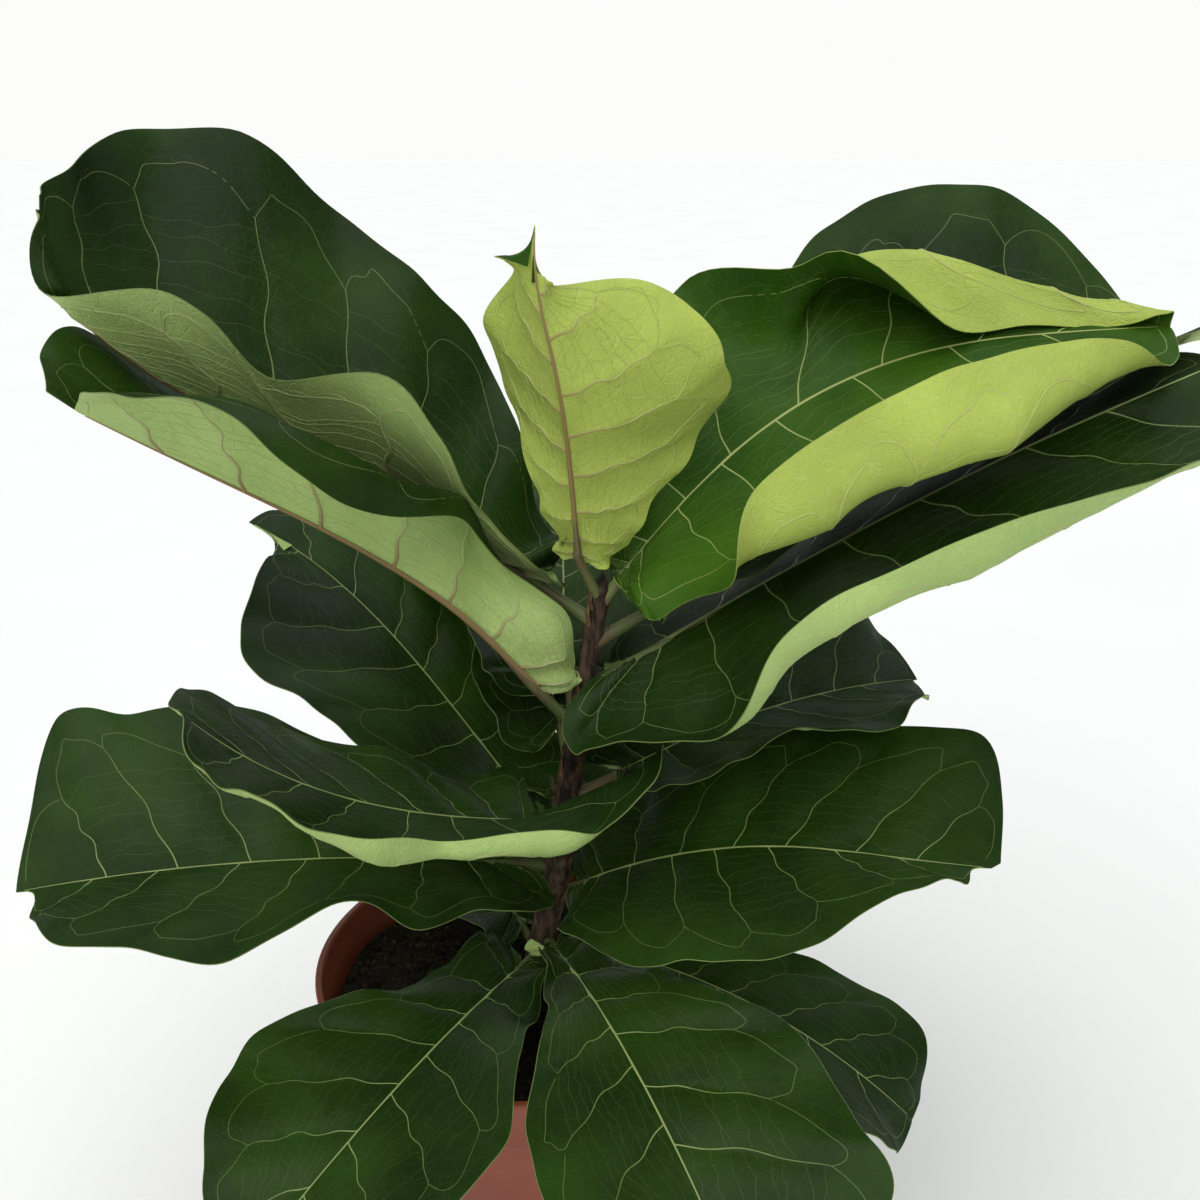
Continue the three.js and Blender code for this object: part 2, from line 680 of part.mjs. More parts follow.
// The blade: a grid of points with an upper and a lower face, split alike, and a closed margin.
function bladeGeometry(leaf, stations) {
  const { rows, columns } = leaf.grid ?? PLAIN_GRID;
  const wide = 2 * columns.length + 1;
  const grid = [stations[0].point.clone()];
  for (let row = 1; row < rows; row++) {
    const left = ribPoints(leaf, stations, row / rows, 1, columns);
    const right = ribPoints(leaf, stations, row / rows, -1, columns);
    grid.push(...left.points.reverse(), left.middle, ...right.points);
  }
  grid.push(stations[MIDRIB_STEPS].point.clone());
  const tip = grid.length - 1;
  const id = (row, column) => 1 + (row - 1) * wide + column;

  const upper = [];
  for (let column = 0; column < wide - 1; column++) {
    upper.push([0, id(1, column + 1), id(1, column)]);
    for (let row = 1; row < rows - 1; row++) {
      const [a, b] = [id(row, column), id(row, column + 1)];
      const [c, d] = [id(row + 1, column + 1), id(row + 1, column)];
      upper.push([a, b, c], [a, c, d]);
    }
    upper.push([id(rows - 1, column), id(rows - 1, column + 1), tip]);
  }

  const surface = geometryFrom(grid, upper);
  surface.computeVertexNormals();
  const normals = surface.getAttribute("normal");
  const middle = columns.length;
  const top = [];
  const bottom = [];
  grid.forEach((point, i) => {
    const normal = new THREE.Vector3().fromBufferAttribute(normals, i);
    const onMidrib = i > 0 && i < tip && (i - 1) % wide === middle;
    const row = Math.floor((i - 1) / wide) + 1;
    const ridge = onMidrib ? MIDRIB_DEPTH * (1 - row / rows) ** 1.5 : 0;
    top.push(point.clone().addScaledVector(normal, BLADE_THICKNESS / 2));
    bottom.push(point.clone().addScaledVector(normal, -BLADE_THICKNESS / 2 - ridge));
  });

  const rim = [0];
  for (let row = 1; row < rows; row++) rim.push(id(row, 0));
  rim.push(tip);
  for (let row = rows - 1; row > 0; row--) rim.push(id(row, wide - 1));
  const count = grid.length;
  const faces = [...upper];
  for (const [a, b, c] of upper) faces.push([count + a, count + c, count + b]);
  rim.forEach((a, i) => {
    const b = rim[(i + 1) % rim.length];
    faces.push([a, b, count + b], [a, count + b, count + a]);
  });
  return geometryFrom([...top, ...bottom], faces);
}

// The petiole runs from just clear of the trunk to under the first part of the midrib.
function petioleGeometry(leaf, { foot, petioleAlong, petioleRise, stations }) {
  const tilt = radians(petioleRise);
  const clear = trunkRadius(leaf.height) + PETIOLE_CLEARANCE + PETIOLE_RADIUS * Math.abs(Math.sin(tilt));
  const start = foot.clone().addScaledVector(petioleAlong, clear / Math.cos(tilt));
  const under = (u, depth) => {
    const station = stationAt(stations, u);
    return station.point.addScaledVector(station.up, -depth);
  };
  const joint = under(0, 1);
  const path = [start, start.clone().lerp(joint, 0.5), joint, under(0.05, 1.3), under(0.12, 1)];
  const radii = [PETIOLE_RADIUS + 0.3, PETIOLE_RADIUS - 0.3, PETIOLE_RADIUS - 0.2, 1.9, 0.8];
  return tube(path, PETIOLE_SIDES, (ring) => radii[ring]);
}

function leafGeometry(leaf) {
  const midrib = midribOf(leaf);
  const blade = solidFrom(bladeGeometry(leaf, midrib.stations));
  return geometryOfSolid(blade.add(solidFrom(petioleGeometry(leaf, midrib))));
}

// ---- Colours ----
const MATURE_GREEN = 0x2c4a24;
const YOUNG_GREEN = 0x5c8f36;
const YOUNG_LEAVES = ["leaf_03_young_upright", "leaf_04_young_rolled"];

function potMesh() {
  return namedMesh("pot", potGeometry(), 0x9a3f2c, 0.55);
}

function soilMesh() {
  return namedMesh("soil", soilGeometry(), 0x2a211b, 0.95);
}

function trunkMesh() {
  return namedMesh("trunk", trunkGeometry(), 0x5a4636, 0.85);
}

function leafMesh(name, leaf) {
  const young = YOUNG_LEAVES.includes(name);
  return namedMesh(name, leafGeometry(leaf), young ? YOUNG_GREEN : MATURE_GREEN, young ? 0.5 : 0.38);
}

const group = new THREE.Group();
group.name = "potted_fiddle_leaf_fig";
group.add(potMesh(), soilMesh(), trunkMesh());
for (const [name, leaf] of Object.entries(LEAVES)) group.add(leafMesh(name, leaf));

export default group;
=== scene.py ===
"""A potted fiddle leaf fig on a pale floor: fine leaves with veins, a rough trunk, soil and a nursery pot.

Lengths are millimetres until a mesh is made, with the frame's axes: +Z up, front towards -Y.
"""

import math

import bpy
import numpy as np
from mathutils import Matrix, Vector, noise


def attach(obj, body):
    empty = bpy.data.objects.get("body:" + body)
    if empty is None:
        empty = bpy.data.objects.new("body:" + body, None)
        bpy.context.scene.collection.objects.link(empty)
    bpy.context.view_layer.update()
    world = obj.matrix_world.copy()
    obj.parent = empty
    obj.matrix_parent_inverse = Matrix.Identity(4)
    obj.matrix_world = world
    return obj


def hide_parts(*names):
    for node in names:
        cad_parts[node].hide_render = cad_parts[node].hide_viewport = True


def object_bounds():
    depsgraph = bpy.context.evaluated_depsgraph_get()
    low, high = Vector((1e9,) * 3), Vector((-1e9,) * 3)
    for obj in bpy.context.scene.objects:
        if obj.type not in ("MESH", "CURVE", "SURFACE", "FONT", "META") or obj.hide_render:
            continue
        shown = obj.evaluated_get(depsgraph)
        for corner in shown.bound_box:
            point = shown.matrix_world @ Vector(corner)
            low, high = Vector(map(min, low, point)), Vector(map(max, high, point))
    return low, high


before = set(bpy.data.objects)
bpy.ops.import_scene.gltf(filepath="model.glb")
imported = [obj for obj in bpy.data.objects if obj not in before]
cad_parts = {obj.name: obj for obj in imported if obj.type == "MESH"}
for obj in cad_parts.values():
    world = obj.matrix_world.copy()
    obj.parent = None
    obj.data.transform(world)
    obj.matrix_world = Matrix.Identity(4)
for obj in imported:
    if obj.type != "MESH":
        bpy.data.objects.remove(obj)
cad_low, cad_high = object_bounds()

MM = 0.001

# ---- Camera, read from the photograph ----
CAMERA_PLACE = (33, -535, 570)
CAMERA_PITCH = 20  # degrees down
CAMERA_FIELD = 50  # degrees, across the picture
SENSOR_WIDTH = 36

# ---- Trunk, soil and pot, as in the CAD ----
POT_HEIGHT = 190
POT_TOP_RADIUS = 105
POT_BASE_RADIUS = 72
POT_WALL = 2.4
POT_FLOOR = 3
POT_BAND = 26
POT_BAND_STEP = 4
DRAIN_HOLES = 6
DRAIN_HOLE_RADIUS = 4
DRAIN_CIRCLE_RADIUS = 46
SOIL_LEVEL = 174
TRUNK_FOOT = 150
TRUNK_TOP = 380
TRUNK_SOIL_X = 2
TRUNK_TOP_X = 33
TRUNK_FOOT_RADIUS = 8
TRUNK_TOP_RADIUS = 3.9
NODE_SWELL = 0.9
NODE_SWELL_SPREAD = 3.5
NODE_SWELL_BELOW = 3  # how far below a leaf's height the swelling is thickest
BUD_LENGTH = 8.5

# ---- Leaves, as in the CAD ----
MIDRIB_STEPS = 80
RIB_STEPS = 48
LEAF_ROWS = 150
BLADE_THICKNESS = 0.66
MARGIN_THICKNESS = 0.5
PETIOLE_RADIUS = 2.5
Q = np.linspace(0, 1, LEAF_ROWS + 1)  # the rows of half a blade, from base to tip
T = np.linspace(0, 1, RIB_STEPS + 1)  # its columns, from midrib to margin

# Outline of half a blade, as ribs from the midrib to the margin: where each leaves the midrib, how far along
# the leaf it meets the margin and how far out, in blade lengths.
RIBS = [
    [0.0, 0.0, 0.0],
    [0.008, -0.065, 0.03],
    [0.02, -0.12, 0.085],
    [0.04, -0.1, 0.16],
    [0.08, -0.005, 0.21],
    [0.145, 0.125, 0.222],
    [0.225, 0.27, 0.222],
    [0.33, 0.43, 0.262],
    [0.455, 0.61, 0.33],
    [0.6, 0.785, 0.352],
    [0.75, 0.925, 0.29],
    [0.89, 0.995, 0.155],
    [1.0, 1.0, 0.0],
]
RIB_ROOT, RIB_MEETS, RIB_OUT = np.array(RIBS).T

# How one half of a blade is bent, in degrees and millimetres; lists run from the leaf's base to its tip.
HALF_BLADE = dict(
    fold=15, cup=5, turn=0, turn_from=0.6, turn_to=1, wave=4, waves=4, phase=0,
    width=1, reach=1, apex=0, lobe=1,
)

# Each leaf: height on the trunk, petiole and blade length, heading (0 is right, 90 is back), rise and roll.
LEAVES = {
    "leaf_01_upper_left": dict(
        height=364, petiole=34, petiole_heading=165, length=258, heading=[184, 185, 186, 190, 194],
        rise=[34, 32, 31, 30, 30, 31, 40, 68, 92],
        left=dict(
            fold=[38, 38, 36, 36, 40, 42, 46, 40, 20], cup=0, wave=2, waves=2,
            width=[
                0.6, 0.5, 0.45, 0.35, 0.3, 0.3, 0.45, 0.7, 1.15, 1.4, 0.55, 0.65, 0.5, 0.15, 0.4, 0.25, 0.3
            ],
            lobe=0.4,
        ),
        right=dict(
            fold=[44, 44, 46, 50, 54, 54, 52, 50, 48], wave=6, waves=6.5, phase=0.55,
            width=[0.6, 0.6, 0.6, 0.6, 0.55, 0.45, 0.6, 1.1, 1.5, 1.5, 1.4, 1.3, 1.27, 1.13, 0.66, 0.37, 0.3],
            apex=0.05, lobe=0.25,
        ),
    ),
    "leaf_02_left_keeled": dict(
        height=312, petiole=31, petiole_heading=212, length=225, heading=[198, 197, 196, 194],
        rise=[52, 48, 40, 34, 31, 31, 32],
        left=dict(
            fold=[48, 68, 82, 68, 115, 60, 52, 46, 45], cup=0,
            turn=[0, 40, 55, 40, -115, -112, -70, -55, 10], turn_from=0.5, turn_to=0.85,
            width=[0.6, 0.65, 0.5, 0.6, 0.85, 1.05, 0.9, 0.8, 0.9], lobe=0.35,
        ),
        right=dict(
            fold=[15, 14, 20, 20, 26, 22, 11, 19, 18], width=[1, 1, 1.4, 1.4, 0.9, 0.75, 0.85, 0.85, 1],
            apex=0.12, lobe=0.4,
        ),
    ),
    "leaf_03_young_upright": dict(
        height=376, petiole=26, petiole_heading=228, petiole_rise=60, length=148, heading=[258, 254, 205],
        rise=[73, 70, 66, 72, 96], roll=[11, 10, 12, 48, 135],
        left=dict(
            fold=8, cup=15, wave=3,
            width=[0.55, 0.55, 0.65, 0.6, 0.65, 0.7, 0.8, 1, 1.45, 1.55, 1.55, 1.3, 1.1, 0.9, 0.3, 0.1, 0.3],
            reach=0.86, lobe=0.4,
        ),
        right=dict(
            fold=[54, 59, 60, 45, 30, 45, 51, 72, 65], cup=0, wave=3,
            width=[0.7, 0.85, 1, 1, 0.95, 0.6, 0.4, 0.5, 0.6, 0.75, 0.85, 0.8, 0.7, 0.45, 0.45, 0.75, 0.9],
            reach=0.86, apex=0.09, lobe=0.4,
        ),
    ),
    "leaf_04_young_rolled": dict(
        height=372, petiole=19, length=262, heading=[8, 4, -2, -6], rise=[53, 43, 24, 7, 3],
        left=dict(
            fold=[32, 38, 46, 56, 52, 48, 45, 40, 30], cup=0,
            turn=[0, 0, 0, 0, 0, -5, -15, -5, 10, 0, 60, 185, 195, 190, 178, 150, 120], turn_from=0.36,
            turn_to=0.62, wave=3,
            width=[0.3, 0.35, 0.45, 0.6, 0.72, 1, 1.25, 1.25, 1.2, 1.2, 0.72, 1.2, 0.95, 0.6, 0.5, 0.5, 0.4],
            lobe=0.1,
        ),
        right=dict(
            fold=[10, 8, 0, -10, -25, -30, -30, -30, -20], cup=0,
            turn=[0, 0, -50, -40, 120, 145, 175, 20, 30], turn_from=0.5, turn_to=0.9, wave=3,
            width=[0.6, 0.7, 0.8, 0.8, 1.8, 1.45, 1.1, 0.5, 0.45], lobe=0.15,
        ),
    ),
    "leaf_05_upper_right_back": dict(
        height=354, petiole=44, length=270, heading=[15, 14, 14, 14], rise=[28, 26, 22, 14],
        left=dict(
            fold=[38, 40, 46, 47, 47, 46, 42, 36], width=[1, 1.1, 1.2, 1.3, 1.4, 1.42, 1.3, 1.3, 1.2],
            reach=0.94, lobe=0.3,
        ),
        right=dict(fold=14, width=0.6, lobe=0.4),
    ),
    "leaf_06_upper_right": dict(
        height=332, petiole=28, length=285, heading=[-5, -4, -2], rise=[35, 30, 23],
        left=dict(fold=[-4, -4, -6, -8, -10, -12, -12], width=[0.9, 0.9, 1, 1, 1], lobe=0.6),
        right=dict(
            fold=[30, 0, -28, -32, -14, -25, -28, -50, 0], cup=0, turn=[60, 50, 55, 55, 90, 135, 65, 60, 0],
            turn_from=0.6, width=[1.2, 1.2, 0.9, 1.1, 1.4, 0.85, 0.6, 0.65, 1], lobe=1.1,
        ),
    ),
    "leaf_07_left_back": dict(
        height=252, petiole=36, length=200, heading=[140, 142, 150, 160], rise=[36, 36, 31, 20],
        left=dict(fold=10, width=[0.7, 0.8, 0.9, 1.3, 1.65, 1.6, 1.1, 0.65, 0.6], reach=0.86),
        right=dict(fold=10, width=[0.9, 0.9, 0.8, 0.7, 0.65], lobe=0.6),
    ),
    "leaf_08_back_left": dict(
        height=290, petiole=30, length=160, heading=[104, 107, 112], rise=[30, 18, 8],
        both=dict(fold=12, width=[1.1, 1.1, 1, 1, 1], lobe=0.9),
    ),
    "leaf_09_left_cupped": dict(
        height=247, petiole=30, petiole_heading=245, petiole_rise=60, length=182, heading=[220, 212, 206],
        rise=[18, 28, 50],
        left=dict(
            fold=[60, 30, 43, 20, 3, -12, -11, -12, -11], cup=0, turn=[57, 32, 34, 31, 98, 134, 48, 36, 16],
            turn_from=0.65, width=[1.8, 1.9, 2.4, 1.75, 1.55, 0.95, 0.6, 0.85, 0.85], lobe=0.8,
        ),
        right=dict(fold=[25, 25, 20, 18, 14, 8, 0, -5], width=0.85, lobe=0.2),
    ),
    "leaf_10_left_low": dict(
        height=240, petiole=28, length=226, heading=[186, 184, 180], rise=[8, -2, -12],
        left=dict(
            fold=-5,
            width=[1, 1, 1, 1, 0.9, 1.05, 0.8, 0.95, 0.75, 0.9, 1.05, 0.8, 0.7, 0.7, 0.55, 0.65, 0.8],
            reach=0.94,
        ),
        right=dict(fold=38, width=[1, 1, 1, 1, 1, 1.15, 1.05, 1.4, 1.1]),
    ),
    "leaf_11_right_low": dict(
        height=224, petiole=18, length=192, heading=[-16, -12, -8], rise=[32, 16, -1, -2],
        left=dict(fold=30, width=[1, 1, 1, 1, 1, 1.1, 1, 1.3, 1.25], apex=0.05, lobe=0.3),
        right=dict(fold=-15, width=[0.8, 0.85, 0.9, 1, 1.6, 1.2, 0.45, 0.25, 0.3], reach=0.95, lobe=0.35),
    ),
    "leaf_12_right_back": dict(
        height=276, petiole=32, length=170, heading=[26, 24, 22], rise=[16, 6, -6],
        both=dict(lobe=0.6),
        left=dict(fold=25, width=[1, 1, 1, 1.1, 1.25]),
        right=dict(fold=5, width=[1, 1, 1, 0.85, 0.7], apex=-0.06),
    ),
    "leaf_13_front_left": dict(
        height=194, petiole=20, length=180, heading=[240, 238, 235], rise=[4, -8, -20],
        both=dict(fold=10),
        left=dict(width=[0.85, 0.85, 0.85, 0.5, 0.95, 1.15, 1, 1, 1], lobe=0.4),
        right=dict(width=[1, 1, 0.75, 0.7, 0.8, 1.15, 0.9, 0.65, 1.1], lobe=0.5),
    ),
    "leaf_14_front_right": dict(
        height=200, petiole=18, length=205, heading=[-70, -69, -67], rise=[14, -4, -26],
        left=dict(fold=14, width=[0.8, 0.8, 0.8, 0.45, 0.65, 0.95, 0.9, 1.15, 1], lobe=0.35),
        right=dict(fold=8, width=[0.55, 0.55, 0.4, 0.2, 0.5, 0.75, 0.8, 0.75, 0.85], lobe=0.15),
    ),
    "leaf_15_right_lowest": dict(
        height=200, petiole=32, length=160, heading=[-22, -24, -26], rise=[1, -17, -36],
        both=dict(fold=6, width=0.85, lobe=0.1),
        right=dict(width=[0.6, 0.7, 0.8, 0.85, 0.85, 0.85, 0.85]),
    ),
    "leaf_16_back_lowest": dict(
        height=190, petiole=30, length=160, heading=[118, 114, 110], rise=[8, 0, -12],
        both=dict(fold=10, width=0.9),
    ),
    "leaf_17_back_upper": dict(
        height=304, petiole=34, length=210, heading=[96, 90, 84], rise=[30, 16, 4],
        both=dict(fold=14, lobe=0.3),
    ),
    "leaf_18_back_right": dict(
        height=228, petiole=34, length=200, heading=[62, 60, 58], rise=[18, 4, -12],
        both=dict(fold=12),
    ),
}
YOUNG_LEAVES = ("leaf_03_young_upright", "leaf_04_young_rolled")

# ---- Fine detail, which only this scene adds ----
EDGE_ROOM = 0.02  # how far inside the CAD's box every piece stays
LEAF_EASE = 4.0  # how far inside that box a leaf starts to be eased back
QUILT_HEIGHT = 1.8  # how much the blade swells between its side veins
QUILT_SUNK = 0.6  # share of that height that lies below the CAD's surface
RIPPLES = [(5.3, 1.2), (9.7, 0.8), (17.1, 0.35)]  # waves along a margin and how high they are
RIPPLE_OUTWARD = 0.6  # share of a ripple that moves the margin outwards
BASE_FADE = 0.12  # how far from the base, in q, the waves have grown to their full height
TIP_FADE = 0.1  # the same from the tip
LATERAL_STARTS = np.array([0.075, 0.175, 0.3, 0.42, 0.53, 0.62, 0.705, 0.79, 0.87])  # side veins, in q
LATERAL_SHIFT = 0.012  # the two halves' side veins leave the midrib a little apart
LATERAL_SWEEP = 0.04  # how far a side vein has moved towards the tip, in q, at the margin
RIDGE_ROOT = 0.12  # how deep a vein's foot lies in the blade
VEINS_DRAWN_AT = 220  # blade length that the widths of the veins and petioles are given for
FLAT_SCALE = 0.1  # the blade laid flat, for its patterns, is in centimetres
FLAT_STEP = 40.0  # how far apart the flat leaves lie

# ---- Trunk and soil detail ----
TRUNK_SIDES = 72
TRUNK_RING_STEP = 0.8
SCAR_SPACING = 17
SCAR_OFFSET = 5
BARK_DEPTH = 0.3  # how far the bark lies below the CAD's surface before its plates are added
STIPULES_FROM = 215  # height above which leaf bases still have their sheaths
STIPULE_THICKNESS = 0.22
SOIL_RINGS = 60
SOIL_SIDES = 220
SOIL_DEPTH = 14  # how far the piece reaches down inside the pot
SOIL_CRUMBS = 1500
SOIL_FIBRES = 170
CRUMB_SIDES = 6
POT_SIDES = 144
HOLE_SIDES = 24

# ---- Stage ----
FLOOR_RADIUS = 30.0  # metres
FLOOR_SIDES = 96
FLOOR_DROP = 0.0005  # metres
HORIZON_LIGHT = (0.97, 0.975, 0.965)
ZENITH_LIGHT = (0.32, 0.33, 0.34)
HORIZON_ENDS = 0.1  # sine of the height up to which the sky is as bright as the horizon
ZENITH_STARTS = 0.22
# Each lamp: name, heading and height of where it shines from in degrees, strength, spread in degrees, tint.
LAMPS = [
    ("key", 240, 58, 2.2, 75, (1.0, 0.99, 0.97)),
    ("rim", 60, 60, 0.6, 80, (0.93, 0.97, 1.0)),
]


# ---- Small helpers ----
def smooth(values, u):
    """A smooth curve through evenly spaced values, read at each u from 0 to 1."""
    values = np.atleast_1d(np.asarray(values, float))
    u = np.asarray(u, float)
    last = len(values) - 1
    if last == 0:
        return np.full(u.shape, values[0])
    x = np.clip(u, 0, 1) * last
    i = np.minimum(x.astype(int), last - 1)
    f = x - i
    b = values[i]
    c = values[i + 1]
    a = np.where(i > 0, values[np.maximum(i - 1, 0)], 2 * b - c)
    d = np.where(i < last - 1, values[np.minimum(i + 2, last)], 2 * c - b)
    return 0.5 * (2 * b + (c - a) * f + (2 * a - 5 * b + 4 * c - d) * f**2 + (3 * b - a - 3 * c + d) * f**3)


def unit(vectors):
    """The vectors at length 1."""
    return vectors / np.maximum(np.linalg.norm(vectors, axis=-1, keepdims=True), 1e-9)


def fade_in(x, room):
    """From 0 to 1 while x goes from nothing to room."""
    return np.clip(x / room, 0, 1)


def circle(radius, sides, z=0.0, middle=(0, 0)):
    """The points of a level circle."""
    turns = [2 * math.pi * k / sides for k in range(sides)]
    return [(middle[0] + radius * math.cos(a), middle[1] + radius * math.sin(a), z) for a in turns]


def add_object(name, data):
    """A new object in the scene."""
    made = bpy.data.objects.new(name, data)
    bpy.context.scene.collection.objects.link(made)
    return made


class Shape:
    """Gathers the parts of one mesh: points in millimetres, faces and a material for each face.

    Each point also has a place on the blade laid flat, for patterns, and a rank, which is a vein's size.
    """

    def __init__(self):
        self.points = []
        self.faces = []
        self.looks = []
        self.flat = []
        self.rank = []
        self.count = 0

    def add(self, points, faces, look, flat=None, rank=0.0):
        points = np.asarray(points, float).reshape(-1, 3)
        flat = np.zeros((len(points), 2)) if flat is None else np.asarray(flat, float).reshape(-1, 2)
        looks = [look] * len(faces) if isinstance(look, int) else list(look)
        self.faces += [[i + self.count for i in face] for face in faces]
        self.looks += looks
        self.points.append(points)
        self.flat.append(flat)
        self.rank.append(np.full(len(points), rank))
        self.count += len(points)

    def piece(self, name, materials, nodes=(), sharp=50, ease=0.0):
        """Makes the mesh and its object, which rides on the one body and stands for the named CAD nodes.

        Points past the CAD's box are brought inside it, and those less than ease from it are eased back.
        """
        points = np.concatenate(self.points)
        for limit, sign in ((np.array(cad_high) / MM, 1), (np.array(cad_low) / MM, -1)):
            room = EDGE_ROOM + ease
            past = np.maximum(sign * (points - limit) + room, 0)
            eased = ease * (1 - np.exp(-past / ease)) if ease else 0
            points = points - sign * (past - eased)
        mesh = bpy.data.meshes.new(name)
        mesh.from_pydata((points * MM).tolist(), [], self.faces)
        for material in materials:
            mesh.materials.append(material)
        mesh.polygons.foreach_set("material_index", self.looks)
        corners = np.zeros(len(mesh.loops), int)
        mesh.loops.foreach_get("vertex_index", corners)
        layer = mesh.uv_layers.new(name="flat")
        layer.data.foreach_set("uv", np.concatenate(self.flat)[corners].ravel())
        rank = mesh.attributes.new("rank", "FLOAT", "POINT")
        rank.data.foreach_set("value", np.concatenate(self.rank))
        mesh.shade_smooth()
        mesh.set_sharp_from_angle(angle=math.radians(sharp))
        mesh.validate()
        made = add_object(name, mesh)
        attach(made, "root")
        if nodes:
            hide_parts(*nodes)
        return made


def grid_faces(rows, columns, closed=False):
    """Quads of a grid of points, whose columns may close into a ring."""
    wide = columns if closed else columns - 1
    faces = []
    for row in range(rows - 1):
        for k in range(wide):
            a = row * columns + k
            b = row * columns + (k + 1) % columns
            faces.append([a, b, b + columns, a + columns])
    return faces


def tube_faces(rings, sides):
    """Faces of a tube of rings, with a lid at each end."""
    last = (rings - 1) * sides
    lids = [list(range(sides))[::-1], list(range(last, last + sides))]
    return grid_faces(rings, sides, closed=True) + lids


def tube(shape, path, radii, sides, look):
    """Adds a closed tube along a path. radii has a number for each ring, or one for each of its points."""
    path = np.asarray(path, float)
    along = unit(np.gradient(path, axis=0))
    side = np.array([0.0, 1.0, 0.0])
    radii = np.broadcast_to(radii, (sides, len(path))).T if np.ndim(radii) < 2 else radii
    angles = np.arange(sides) * 2 * math.pi / sides
    cos, sin = np.cos(angles)[:, None], np.sin(angles)[:, None]
    rings = []
    for point, forward, radius in zip(path, along, radii):
        side = unit(side - forward * side.dot(forward))
        other = np.cross(forward, side)
        rings.append(point + radius[:, None] * (cos * side + sin * other))
    shape.add(np.concatenate(rings), tube_faces(len(path), sides), look)


# ---- Trunk axis ----
def trunk_share(z):
    return (np.asarray(z, float) - SOIL_LEVEL) / (TRUNK_TOP - SOIL_LEVEL)


def trunk_axis(z):
    """The axis stands straight in the soil and leans to the right above it."""
    share = np.maximum(trunk_share(z), 0)
    x = TRUNK_SOIL_X + (TRUNK_TOP_X - TRUNK_SOIL_X) * share
    return np.stack([x, np.zeros_like(x), np.asarray(z, float)], -1)


def trunk_radius(z):
    """The radius tapers upwards and swells a little under each leaf."""
    taper = TRUNK_FOOT_RADIUS + (TRUNK_TOP_RADIUS - TRUNK_FOOT_RADIUS) * np.clip(trunk_share(z), 0, 1) ** 0.8
    middles = [leaf["height"] - NODE_SWELL_BELOW for leaf in LEAVES.values()]
    swell = [np.exp(-(((z - middle) / NODE_SWELL_SPREAD) ** 2)) for middle in middles]
    return taper + NODE_SWELL * np.max(swell, axis=0)


# ---- Leaf surface ----
def leaf_frame(*angles):
    """From heading, rise and roll: directions along the midrib, up from the face and across to the left."""
    cos_a, cos_e, cos_r = (np.cos(np.radians(angle))[..., None] for angle in angles)
    sin_a, sin_e, sin_r = (np.sin(np.radians(angle))[..., None] for angle in angles)
    along = np.concatenate([cos_e * cos_a, cos_e * sin_a, sin_e], -1)
    face = np.concatenate([-sin_e * cos_a, -sin_e * sin_a, cos_e], -1)
    side = np.cross(face, along)
    return along, face * cos_r - side * sin_r, side * cos_r + face * sin_r


